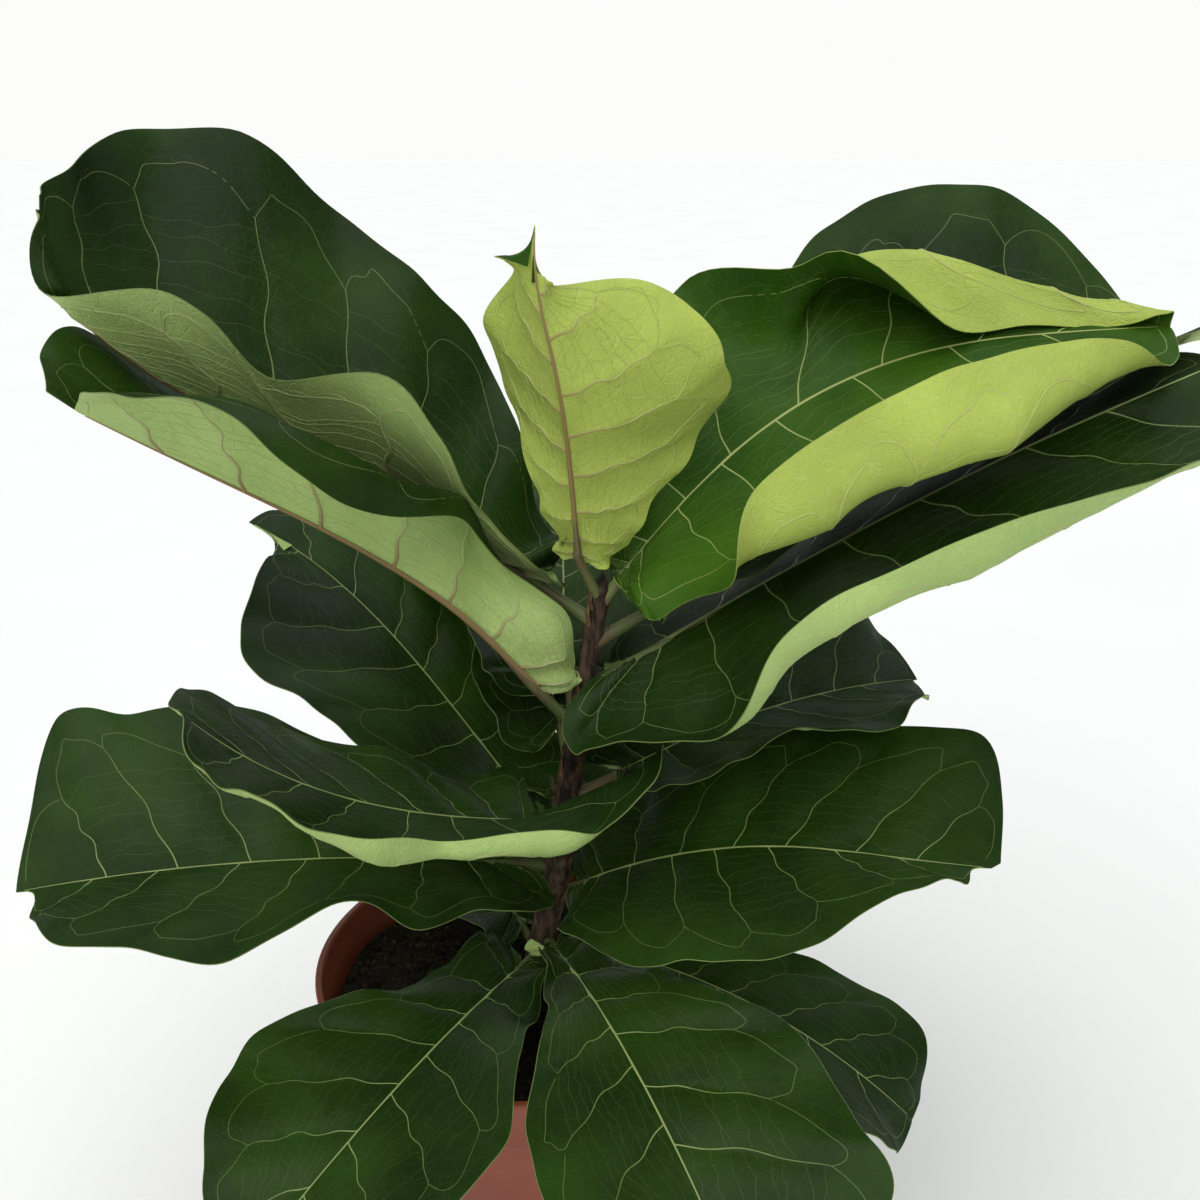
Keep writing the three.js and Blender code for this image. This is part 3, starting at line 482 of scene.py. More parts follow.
class Leaf:
    """The bent surface of one leaf, as the CAD builds it, laid on a finer grid and given its fine relief."""

    def __init__(self, name, number):
        self.number = number
        self.spec = LEAVES[name]
        self.length = self.spec["length"]
        self.random = np.random.default_rng(100 + number)
        self.lay_midrib()
        self.halves = {side: self.lay_half(side) for side in (1, -1)}

    def lay_midrib(self):
        spec = self.spec
        u = np.linspace(0, 1, MIDRIB_STEPS + 1)
        heading = smooth(spec["heading"], u)
        rise = smooth(spec["rise"], u)
        self.along, self.up, self.across = leaf_frame(heading, rise, smooth(spec.get("roll", 0), u))
        first_heading = np.array(spec.get("petiole_heading", heading[0]), float)
        first_rise = np.array(spec.get("petiole_rise", rise[0]), float)
        self.petiole_along = leaf_frame(first_heading, first_rise, np.array(0.0))[0]
        self.foot = trunk_axis(spec["height"])
        start = self.foot + self.petiole_along * spec["petiole"]
        mean = (self.along[1:] + self.along[:-1]) / 2
        steps = np.cumsum(mean, axis=0) * self.length / MIDRIB_STEPS
        self.midrib = np.concatenate([start[None], start + steps])

    def station(self, u, what):
        """The midrib's point or one of its directions, at each u from 0 to 1."""
        x = np.clip(u, 0, 1) * MIDRIB_STEPS
        i = np.minimum(x.astype(int), MIDRIB_STEPS - 1)
        f = (x - i)[..., None]
        return what[i] * (1 - f) + what[i + 1] * f

    def lay_half(self, side):
        """A grid of points over one half, the left one for side 1: a row for each q, a column for each t."""
        own = self.spec.get("left" if side > 0 else "right", {})
        half = {**HALF_BLADE, **self.spec.get("both", {}), **own}
        q, t = Q, T
        root = np.clip(smooth(RIB_ROOT, q), 0, 1)
        meets = smooth(RIB_MEETS, q) * half["reach"] + half["apex"] * smooth([0, 0, 0, 0, 0.2, 1, 0.4], q)
        meets[-1] = 1
        meets = np.where(meets < 0, meets * half["lobe"], meets)
        forward = (meets - root) * self.length
        outward = np.maximum(smooth(RIB_OUT, q), 0) * self.length * smooth(half["width"], q)
        fade = np.minimum(1, np.minimum(q / BASE_FADE, (1 - q) / TIP_FADE))
        outward = outward + RIPPLE_OUTWARD * fade * self.ripple(q)
        swing = smooth(half["wave"], q) * fade * np.sin(2 * math.pi * (half["waves"] * q + half["phase"]))
        frill = fade * self.ripple(q)
        s = np.clip((t - half["turn_from"]) / (half["turn_to"] - half["turn_from"]), 0, 1)
        bend = smooth(half["turn"], q)[:, None] * s * s * (3 - 2 * s)
        angle = np.radians(smooth(half["fold"], q)[:, None] + smooth(half["cup"], q)[:, None] * t + bend)
        along, up, across = (self.station(root, what)[:, None] for what in (self.along, self.up, self.across))
        cos, sin = np.cos(angle)[..., None], np.sin(angle)[..., None]
        out = outward[:, None, None]
        step = along * forward[:, None, None] + across * side * out * cos + up * out * sin
        middle = self.station(root, self.midrib)[:, None]
        walk = np.cumsum((step[:, 1:] + step[:, :-1]) / 2, axis=1) / RIB_STEPS
        points = np.concatenate([middle, middle + walk], axis=1)
        lift = (swing[:, None] * t**1.6 + frill[:, None] * t**4)[..., None]
        points = points + lift * (up * cos - side * across * sin)
        flat = np.stack([root[:, None] * self.length + forward[:, None] * t, side * outward[:, None] * t], -1)
        return self.add_relief(points, flat, side)

    def ripple(self, q):
        """Small uneven waves along a margin, in millimetres."""
        total = 0
        for waves, height in RIPPLES:
            total = total + height * np.sin(2 * math.pi * (waves * q + self.random.uniform(0, 1)))
        return total

    def add_relief(self, points, flat, side):
        """Raises the blade between its side veins, and splits it into an upper and a lower face."""
        q, t = Q[:, None], T[None]
        down = np.gradient(points, axis=0)
        out = np.gradient(points, axis=1)
        normal = unit(np.cross(down, out) * side)
        normal[0] = normal[1]
        normal[-1] = normal[-2]
        laterals = self.lateral_starts(side)
        shifted = q - lateral_sweep(t)
        edges = np.concatenate([[-0.05], laterals, [1.08]])
        i = np.clip(np.searchsorted(edges, shifted) - 1, 0, len(edges) - 2)
        share = np.clip((shifted - edges[i]) / (edges[i + 1] - edges[i]), 0, 1)
        swell = np.sin(math.pi * share) ** 0.7 - QUILT_SUNK
        swell = swell * fade_in(t, 0.12) * fade_in(1 - t, 0.3)
        swell = swell * fade_in(q, 0.1) * fade_in(1 - q, 0.12)
        relief = (QUILT_HEIGHT * swell)[..., None] * normal
        relief[:, 0] = relief[:, -1] = 0
        thick = (MARGIN_THICKNESS + (BLADE_THICKNESS - MARGIN_THICKNESS) * (1 - t**6))[..., None] / 2
        upper = points + relief + normal * thick
        lower = points + relief - normal * thick
        upper[:, 0] = points[:, 0] + normal[:, 0] * thick[:, 0]
        return dict(points=points, upper=upper, lower=lower, normal=normal, flat=flat, laterals=laterals)

    def lateral_starts(self, side):
        """Where the main side veins of one half leave the midrib, in q."""
        starts = LATERAL_STARTS + (LATERAL_SHIFT if side > 0 else -LATERAL_SHIFT)
        return starts + self.random.uniform(-0.008, 0.008, len(starts))


def lateral_sweep(t):
    """How far a side vein has moved towards the leaf's tip, in q, at t of the way to the margin."""
    return LATERAL_SWEEP * np.asarray(t, float) ** 2


# ---- Leaf meshes ----
UPPER, UNDER, VEIN, RIDGE, MARGIN, STALK = range(6)  # places in a leaf's list of materials


def blade(shape, leaf):
    """Both faces of the blade and the rounded margin between them. It closes in one point at base and tip."""
    left, right = leaf.halves[1], leaf.halves[-1]
    rows = LEAF_ROWS - 1
    wide = 2 * RIB_STEPS + 1

    def sheet(key):
        middle = (left[key][:, :1] + right[key][:, :1]) / 2
        grid = np.concatenate([left[key][:, :0:-1], middle, right[key][:, 1:]], axis=1)
        return grid[1:-1]

    upper, lower, flat = sheet("upper"), sheet("lower"), sheet("flat")
    rim = [np.stack([upper[:, side], lower[:, side]]).mean(0) for side in (0, -1)]
    outward = [unit(upper[:, 0] - upper[:, 1]), unit(upper[:, -1] - upper[:, -2])]
    rim = [point + MARGIN_THICKNESS * 0.45 * out for point, out in zip(rim, outward)]
    ends = [left["points"][0, :1], left["points"][-1, :1]]
    points = np.concatenate([upper.reshape(-1, 3), lower.reshape(-1, 3), rim[0], rim[1], *ends])
    flat_ends = [flat[:, 0], flat[:, -1], flat[:1, RIB_STEPS], flat[-1:, RIB_STEPS]]
    flats = np.concatenate([flat.reshape(-1, 2)] * 2 + flat_ends)
    count = rows * wide
    top = grid_faces(rows, wide)
    rim_left = 2 * count
    rim_right = rim_left + rows
    base = rim_right + rows
    tip = base + 1
    faces = [face[::-1] for face in top] + [[count + i for i in face] for face in top]
    looks = [UPPER] * len(top) + [UNDER] * len(top)
    for row in range(rows - 1):
        a, b = row * wide, (row + 1) * wide
        m, n = rim_left + row, rim_left + row + 1
        faces += [[a, b, n, m], [m, n, count + b, count + a]]
        a, b = a + wide - 1, b + wide - 1
        m, n = rim_right + row, rim_right + row + 1
        faces += [[b, a, m, n], [n, m, count + a, count + b]]
        looks += [MARGIN] * 4
    last = (rows - 1) * wide
    for k in range(wide - 1):
        faces += [[base, k, k + 1], [tip, last + k + 1, last + k]]
        faces += [[base, count + k + 1, count + k], [tip, count + last + k, count + last + k + 1]]
        looks += [UPPER, UPPER, UNDER, UNDER]
    m, n = rim_left, rim_right
    faces += [[base, m, 0], [base, count, m], [base, wide - 1, n], [base, n, count + wide - 1]]
    m, n = rim_left + rows - 1, rim_right + rows - 1
    end = last + wide - 1
    faces += [[tip, last, m], [tip, m, count + last], [tip, n, end], [tip, count + end, n]]
    looks += [MARGIN] * 8
    shape.add(points, faces, looks, flat_place(leaf, flats))


def flat_place(leaf, flat):
    """Where points of the blade laid flat lie among those of all leaves, in centimetres."""
    return flat * FLAT_SCALE + (leaf.number * FLAT_STEP, 0.0)


def read_grid(grid, q, t):
    """The grid's value at each pair of q and t."""
    x = np.clip(q, 0, 1) * (grid.shape[0] - 1)
    y = np.clip(t, 0, 1) * (grid.shape[1] - 1)
    i = np.minimum(x.astype(int), grid.shape[0] - 2)
    j = np.minimum(y.astype(int), grid.shape[1] - 2)
    f, g = (x - i)[:, None], (y - j)[:, None]
    low = grid[i, j] * (1 - g) + grid[i, j + 1] * g
    high = grid[i + 1, j] * (1 - g) + grid[i + 1, j + 1] * g
    return low * (1 - f) + high * f


def vein(shape, leaf, side, q, t, widths, heights, rank):
    """One vein, as a low closed ridge on the upper face and a wider, higher one on the lower face."""
    half = leaf.halves[side]
    flat = flat_place(leaf, read_grid(half["flat"], q, t))
    normal = unit(read_grid(half["normal"], q, t))
    for face, sign, look in (("upper", 1, VEIN), ("lower", -1, RIDGE)):
        path = read_grid(half[face], q, t)
        ridge(shape, path, sign * normal, widths[face], heights[face], look, flat, rank)


def ridge(shape, path, normal, width, height, look, flat, rank):
    """A closed low ridge of a D-shaped section along a path on a surface."""
    along = unit(np.gradient(path, axis=0))
    across = unit(np.cross(normal, along))
    width = (np.asarray(width) * np.ones(len(path)))[:, None]
    height = (np.asarray(height) * np.ones(len(path)))[:, None]
    section = [(-0.5, None), (-0.3, 0.75), (0, 1), (0.3, 0.75), (0.5, None)]
    rows = []
    for out, up in section:
        rise = -RIDGE_ROOT if up is None else height * up
        rows.append(path + across * width * out + normal * rise)
    points = np.stack(rows, axis=1).reshape(-1, 3)
    sides = len(section)
    faces = [face[::-1] for face in tube_faces(len(path), sides)]
    ranks = np.repeat(np.broadcast_to(rank, len(path)), sides)
    shape.add(points, faces, look, np.repeat(flat, sides, axis=0), ranks)


def curve(start, control, end, steps):
    """A bend between two places in (q, t), drawn towards a third."""
    w = np.linspace(0, 1, steps)[:, None]
    return (1 - w) ** 2 * np.array(start) + 2 * w * (1 - w) * np.array(control) + w**2 * np.array(end)


def wiggle(leaf, share, size):
    """A small uneven wander that is nothing at both ends of a vein."""
    waves, phase = leaf.random.uniform(1.2, 2.6), leaf.random.uniform(0, 2 * math.pi)
    return size * np.sin(math.pi * share) * np.sin(2 * math.pi * waves * share + phase)


def side_veins(shape, leaf, side):
    """The side veins of one half, the arches that join their ends, and the fine veins between them."""
    starts = leaf.halves[side]["laterals"]
    size = leaf.length / VEINS_DRAWN_AT
    reaches = leaf.random.uniform(0.62, 0.76, len(starts))
    forks = [(start + float(lateral_sweep(t)), t) for start, t in zip(starts, reaches)]
    share = np.linspace(0, 1, 36)
    for start, reach in zip(starts, reaches):
        t = 0.005 + (reach - 0.005) * share
        q = start + lateral_sweep(t) + wiggle(leaf, share, 0.004)
        taper = 1 - 0.55 * share
        widths = dict(upper=0.75 * size * taper + 0.08, lower=1.7 * size * taper + 0.2)
        heights = dict(upper=0.08, lower=0.75 * size * taper)
        vein(shape, leaf, side, q, t, widths, heights, 0.92 - 0.35 * share)
    ends = [(0.05, 0.5), *forks, (0.975, 0.35)]
    for before, after in zip(ends, ends[1:]):
        lean = 0.6 if before[1] > 0.5 else 0.4
        top = (before[0] * (1 - lean) + after[0] * lean + 0.02, leaf.random.uniform(0.98, 1.05))
        arch = curve(before, top, after, 24)
        share = np.linspace(0, 1, len(arch))
        arch[:, 0] += wiggle(leaf, share, 0.004)
        arch[:, 1] += wiggle(leaf, share, 0.015)
        fine_vein(shape, leaf, side, arch, 0.4 * size, 0.5)
        margin_loops(shape, leaf, side, arch, size)
    for i, start in enumerate(starts[:-1]):
        cross_veins(shape, leaf, side, (start, starts[i + 1]), min(reaches[i : i + 2]), size)


def fine_vein(shape, leaf, side, path, width, rank):
    """A thin vein along a path of (q, t)."""
    widths = dict(upper=width, lower=width * 1.6)
    heights = dict(upper=0.05, lower=0.12 + 0.4 * rank)
    vein(shape, leaf, side, path[:, 0], path[:, 1], widths, heights, rank)


def margin_loops(shape, leaf, side, arch, size):
    """Small arches between a large one and the margin."""
    cuts = np.cumsum(leaf.random.integers(4, 8, 4))
    for first, last in zip(cuts, cuts[1:]):
        if last >= len(arch) - 1:
            break
        a, b = arch[first], arch[last]
        top = ((a[0] + b[0]) / 2, min(0.99, max(a[1], b[1]) + leaf.random.uniform(0.05, 0.1)))
        fine_vein(shape, leaf, side, curve(a, top, b, 8), 0.2 * size, 0.14)


def cross_veins(shape, leaf, side, starts, reach, size):
    """Fine wandering veins that join two side veins, and finer ones that join those to each other."""
    draw = leaf.random.uniform
    share = np.linspace(0, 1, 13)
    earlier = None
    for t in np.arange(0.09, reach, 0.085):
        t = t + draw(-0.022, 0.022)
        bend = draw(-0.035, 0.02) * np.sin(math.pi * share)
        across = t + draw(-0.06, 0.01) * share + bend + wiggle(leaf, share, 0.012)
        along = starts[0] + (starts[1] - starts[0]) * share + lateral_sweep(across)
        path = np.stack([along, across], -1)
        fine_vein(shape, leaf, side, path, draw(0.2, 0.3) * size, 0.22)
        if earlier is not None:
            for low, high in ((2, 6), (7, 11)):
                a, b = earlier[leaf.random.integers(low, high)], path[leaf.random.integers(low, high)]
                middle = (a + b) / 2 + (draw(-0.008, 0.008), draw(-0.01, 0.01))
                fine_vein(shape, leaf, side, curve(a, middle, b, 6), 0.17 * size, 0.1)
        earlier = path


def midrib_veins(shape, leaf):
    """The midrib: a thin pale line in the upper face and a strong rounded ridge below."""
    left, right = leaf.halves[1], leaf.halves[-1]
    q = np.linspace(0.04, 0.985, 120)
    t = np.zeros_like(q)
    size = leaf.length / VEINS_DRAWN_AT
    taper = 1 - smooth(RIB_ROOT, q)
    flat = flat_place(leaf, read_grid(left["flat"], q, t))
    normal = unit(read_grid(left["normal"], q, t) + read_grid(right["normal"], q, t))
    for face, sign, look, width, height in (
        ("upper", 1, VEIN, 1.9 * size * taper**0.7 + 0.3, 0.16),
        ("lower", -1, RIDGE, 3.2 * size * taper**0.8 + 0.5, 1.9 * size * taper + 0.2),
    ):
        path = (read_grid(left[face], q, t) + read_grid(right[face], q, t)) / 2
        ridge(shape, path, sign * normal, width, height, look, flat, 1.0)


def petiole(shape, leaf):
    """The stalk, from inside the trunk's bark to under the first part of the midrib."""
    place = np.array([0.0, 0.03, 0.08, 0.13])
    depth = np.array([1.2, 1.5, 1.4, 1.0])[:, None]
    under = leaf.station(place, leaf.midrib) - leaf.station(place, leaf.up) * depth
    root = leaf.foot + leaf.petiole_along * trunk_radius(leaf.foot[2]) * 0.4
    knots = np.concatenate([[root, root * 0.5 + under[0] * 0.5], under])
    u = np.linspace(0, 1, 34)
    path = np.stack([smooth(knots[:, axis], u) for axis in range(3)], -1)
    radii = PETIOLE_RADIUS * smooth([1.35, 1.02, 0.98, 0.85, 0.6, 0.3], u)
    radii = radii * (leaf.length / VEINS_DRAWN_AT) ** 0.5
    tube(shape, path, radii, 14, STALK)


def leaf_piece(name, number, looks):
    """One leaf: its blade, veins and petiole."""
    leaf = Leaf(name, number)
    shape = Shape()
    blade(shape, leaf)
    midrib_veins(shape, leaf)
    for side in (1, -1):
        side_veins(shape, leaf, side)
    petiole(shape, leaf)
    return shape.piece("fig_" + name, looks, [name], ease=LEAF_EASE)


# ---- Trunk ----
def fractal(x, y, z, octaves=3):
    """Soft noise between about -1 and 1, the same on every run."""
    total, weight = 0.0, 1.0
    for _ in range(octaves):
        total += weight * noise.noise(Vector((x, y, z)))
        x, y, z, weight = 2.1 * x + 3.1, 2.1 * y, 2.1 * z, 0.5 * weight
    return total


def trunk_piece(looks):
    """The trunk: bark in rough lengthwise plates, rings where leaves have dropped, and a pointed bud."""
    heights = np.arange(TRUNK_FOOT, TRUNK_TOP, TRUNK_RING_STEP)
    radii = []
    for z in heights:
        ring = []
        old = float(np.clip(1.15 - trunk_share(z), 0.15, 1))
        from_scar = (z - SCAR_OFFSET) % SCAR_SPACING - SCAR_SPACING / 2
        scar = 0.5 * math.exp(-(from_scar**2) / 1.2) * old
        for x, y, _ in circle(1, TRUNK_SIDES):
            plates = fractal(2.6 * x, 2.6 * y, z * 0.045)
            grain = fractal(9 * x, 9 * y, z * 0.22)
            ring.append(old * (0.75 * plates + 0.35 * grain) + scar * (0.6 + 0.4 * x))
        radii.append(trunk_radius(z) - BARK_DEPTH + np.array(ring))
    path = trunk_axis(heights)
    tip = TRUNK_TOP + BUD_LENGTH * np.array([0.0, 0.2, 0.45, 0.7, 0.88, 1.0])
    path = np.concatenate([path, trunk_axis(tip)])
    bud = TRUNK_TOP_RADIUS * np.array([0.98, 0.9, 0.72, 0.45, 0.22, 0.04])
    radii = np.concatenate([np.array(radii), bud[:, None] * np.ones(TRUNK_SIDES)])
    shape = Shape()
    tube(shape, path, radii, TRUNK_SIDES, 0)
    return shape.piece("fig_trunk", looks, ["trunk"])


def stipules_piece(looks):
    """Dry papery sheaths left on the stem above the leaf bases."""
    random = np.random.default_rng(7)
    shape = Shape()
    for leaf in LEAVES.values():
        if leaf["height"] >= STIPULES_FROM:
            for _ in range(2):
                stipule(shape, random, leaf["height"])
    return shape.piece("fig_stipules", looks)


def stipule(shape, random, z):
    """One sheath: a pointed strip that leans away from the trunk, with a front, a back and a rim."""
    turn = random.uniform(0, 2 * math.pi)
    length = random.uniform(8, 15)
    width = random.uniform(2.5, 4)
    lean = random.uniform(0.1, 0.5)
    rows, columns = 9, 6
    foot = float(trunk_radius(z)) + 0.2
    points = []
    for sheet in (0.0, STIPULE_THICKNESS):
        for v in (i / (rows - 1) for i in range(rows)):
            radius = foot + sheet + length * lean * v * v + 0.4 * math.sin(9 * v + turn)
            for j in range(columns):
                w = (j / (columns - 1) - 0.5) * 2
                half = width * (1 - v) ** 0.8 * w * 0.5
                a = turn + half / radius
                out = np.array([math.cos(a), math.sin(a), 0]) * radius
                points.append(trunk_axis(z + length * v) + out)
    count = rows * columns
    front = grid_faces(rows, columns)
    back = [[count + k for k in face[::-1]] for face in front]
    ring = list(range(columns)) + [i * columns + columns - 1 for i in range(1, rows)]
    ring += [(rows - 1) * columns + j for j in range(columns - 2, -1, -1)]
    ring += [i * columns for i in range(rows - 2, 0, -1)]
    rim = [[a, count + a, count + b, b] for a, b in zip(ring, ring[1:] + ring[:1])]
    shape.add(points, [face[::-1] for face in front + back] + rim, 0)


# ---- Soil ----
def pot_wall_radius(z):
    """The outer radius of the pot's tapered wall, without its band."""
    return POT_BASE_RADIUS + (POT_TOP_RADIUS - POT_BAND_STEP - POT_BASE_RADIUS) * z / POT_HEIGHT


def soil_top(x, y):
    """The height of the soil at a place, before its crumbs."""
    wave = 1.3 * math.sin(0.11 * x + 0.4) * math.cos(0.09 * y + 1.3) + 0.7 * math.sin(0.23 * x - 0.19 * y + 2)
    return SOIL_LEVEL + wave


def soil_piece(looks):
    """The soil's crumbly top, with loose crumbs, bark chips and root fibres on it."""
    random = np.random.default_rng(11)
    shape = Shape()
    edge = pot_wall_radius(SOIL_LEVEL - 4) - POT_WALL - 0.5
    points = circle(edge, SOIL_SIDES, SOIL_LEVEL - SOIL_DEPTH)
    for i in range(SOIL_RINGS):
        edge_drop = 3 if i == 0 else 0
        for x, y, _ in circle(edge * (1 - i / SOIL_RINGS), SOIL_SIDES):
            crumbs = 1.1 * fractal(x * 0.16, y * 0.16, 0.3) + 0.8 * abs(fractal(x * 0.5, y * 0.5, 4.1))
            points.append((x, y, soil_top(x, y) - 1.2 + crumbs - edge_drop))
    points.append((0, 0, SOIL_LEVEL - 1))
    faces = grid_faces(SOIL_RINGS + 1, SOIL_SIDES, closed=True)
    last = SOIL_RINGS * SOIL_SIDES
    faces += [[last + k, last + (k + 1) % SOIL_SIDES, len(points) - 1] for k in range(SOIL_SIDES)]
    faces.append(list(range(SOIL_SIDES))[::-1])
    shape.add(points, faces, 0)
    for _ in range(SOIL_CRUMBS):
        x, y = scattered(random, edge - 3)
        crumb(shape, random, (x, y, soil_top(x, y) - 0.4), random.uniform(0.7, 2.3))
    for _ in range(SOIL_FIBRES):
        fibre(shape, random, *scattered(random, edge - 14))
    return shape.piece("fig_soil", looks, ["soil"])


def scattered(random, reach):
    """A random place inside a circle, evenly spread."""
    radius = reach * math.sqrt(random.random())
    a = random.uniform(0, 2 * math.pi)
    return radius * math.cos(a), radius * math.sin(a)


def crumb(shape, random, place, size):
    """One angular crumb, or at times a chip: a stretched and dented ball with a point at each end."""
    stretch = random.uniform(0.5, 1.2, 3) * size
    turn = random.uniform(0, math.pi)
    rings = [(0.8, -0.5), (1.0, 0.1), (0.7, 0.7)]
    sides = CRUMB_SIDES
    # A row of dents is drawn for each end too, although a point has no radius to dent.
    dents = random.uniform(0.75, 1.15, (len(rings) + 2, sides))[1:-1]
    points = []
    for (radius, z), ring in zip(rings, dents):
        for k, dent in enumerate(ring):
            a = math.pi * k / 3 + turn
            points.append((radius * dent * math.cos(a), radius * dent * math.sin(a), z))
    points = np.array([*points, (0, 0, -1), (0, 0, 1)]) * stretch + place
    bottom, top = len(points) - 2, len(points) - 1
    last = (len(rings) - 1) * sides
    faces = grid_faces(len(rings), sides, closed=True)
    faces += [[(k + 1) % sides, k, bottom] for k in range(sides)]
    faces += [[last + k, last + (k + 1) % sides, top] for k in range(sides)]
    shape.add(points, faces, 1 if random.random() < 0.3 else 0)


def fibre(shape, random, x, y):
    """One thin curved root fibre that lies on the soil."""
    heading = random.uniform(0, 2 * math.pi)
    length = random.uniform(8, 24)
    bend = random.uniform(-1.6, 1.6)
    path = []
    for v in np.linspace(0, 1, 9):
        a = heading + bend * v
        x += length / 9 * math.cos(a)
        y += length / 9 * math.sin(a)
        path.append((x, y, soil_top(x, y) + 0.5 + 1.4 * math.sin(math.pi * v)))
    tube(shape, path, random.uniform(0.16, 0.34), 5, 1)


# ---- Pot ----
def pot_piece(looks):
    """A lathe-turned nursery pot with a band below the rim, a rolled lip and drain holes in its floor."""
    foot = POT_HEIGHT - POT_BAND
    wall = pot_wall_radius(foot)
    lip = POT_TOP_RADIUS

    def inside(z):
        return pot_wall_radius(z) - POT_WALL

    outer = [(POT_BASE_RADIUS - 4, 0), (POT_BASE_RADIUS - 1.6, 0.5), (POT_BASE_RADIUS - 0.7, 1.6)]
    outer += [(pot_wall_radius(z), z) for z in np.linspace(5, foot - 4, 12)]
    band = [(wall + 0.6, foot - 3), (wall + 3, foot - 1.7)]
    band += [(wall + POT_BAND_STEP - 0.2, foot - 0.6), (wall + POT_BAND_STEP, foot + 1)]
    band += [(lip - 0.75, POT_HEIGHT - 4.5), (lip - 0.35, POT_HEIGHT - 3.2)]
    turns = np.radians([-20, 15, 50, 90])
    curl = [(lip - 1.25 + 1.2 * math.cos(a), POT_HEIGHT - 1.3 + 1.2 * math.sin(a)) for a in turns]
    curl += [(lip - POT_WALL - 0.5, POT_HEIGHT - 0.1), (lip - POT_WALL - 1.1, POT_HEIGHT - 0.8)]
    inner = [(lip - POT_WALL - 1.4, POT_HEIGHT - 2.4)]
    inner += [(wall + POT_BAND_STEP - POT_WALL, foot + 3), (inside(foot), foot - 2)]
    inner += [(inside(z), z) for z in (120, 80, 40, POT_FLOOR + 3)]
    inner += [(inside(POT_FLOOR) - 3, POT_FLOOR)]
    profile = outer + band + curl + inner
    points = [point for radius, z in profile for point in circle(radius, POT_SIDES, z)]
    shape = Shape()
    shape.add(points, tube_faces(len(profile), POT_SIDES), 0)
    made = shape.piece("fig_pot", looks, ["pot"], sharp=35)
    for i in range(DRAIN_HOLES):
        cut_hole(made, 2 * math.pi * (i + 0.5) / DRAIN_HOLES)
    return made


def cut_hole(pot, angle):
    """Cuts one drain hole through the pot's floor."""
    x, y = DRAIN_CIRCLE_RADIUS * math.cos(angle), DRAIN_CIRCLE_RADIUS * math.sin(angle)
    levels = (-POT_FLOOR, 2 * POT_FLOOR)
    points = [point for z in levels for point in circle(DRAIN_HOLE_RADIUS, HOLE_SIDES, z, (x, y))]
    mesh = bpy.data.meshes.new("hole")
    mesh.from_pydata((np.array(points) * MM).tolist(), [], tube_faces(len(levels), HOLE_SIDES))
    cutter = add_object("hole", mesh)
    cut = pot.modifiers.new("hole", "BOOLEAN")
    cut.object = cutter
    cut.solver = "EXACT"
    evaluated = pot.evaluated_get(bpy.context.evaluated_depsgraph_get())
    cut_mesh = bpy.data.meshes.new_from_object(evaluated)
    pot.modifiers.clear()
    pot.data = cut_mesh
    bpy.data.objects.remove(cutter)


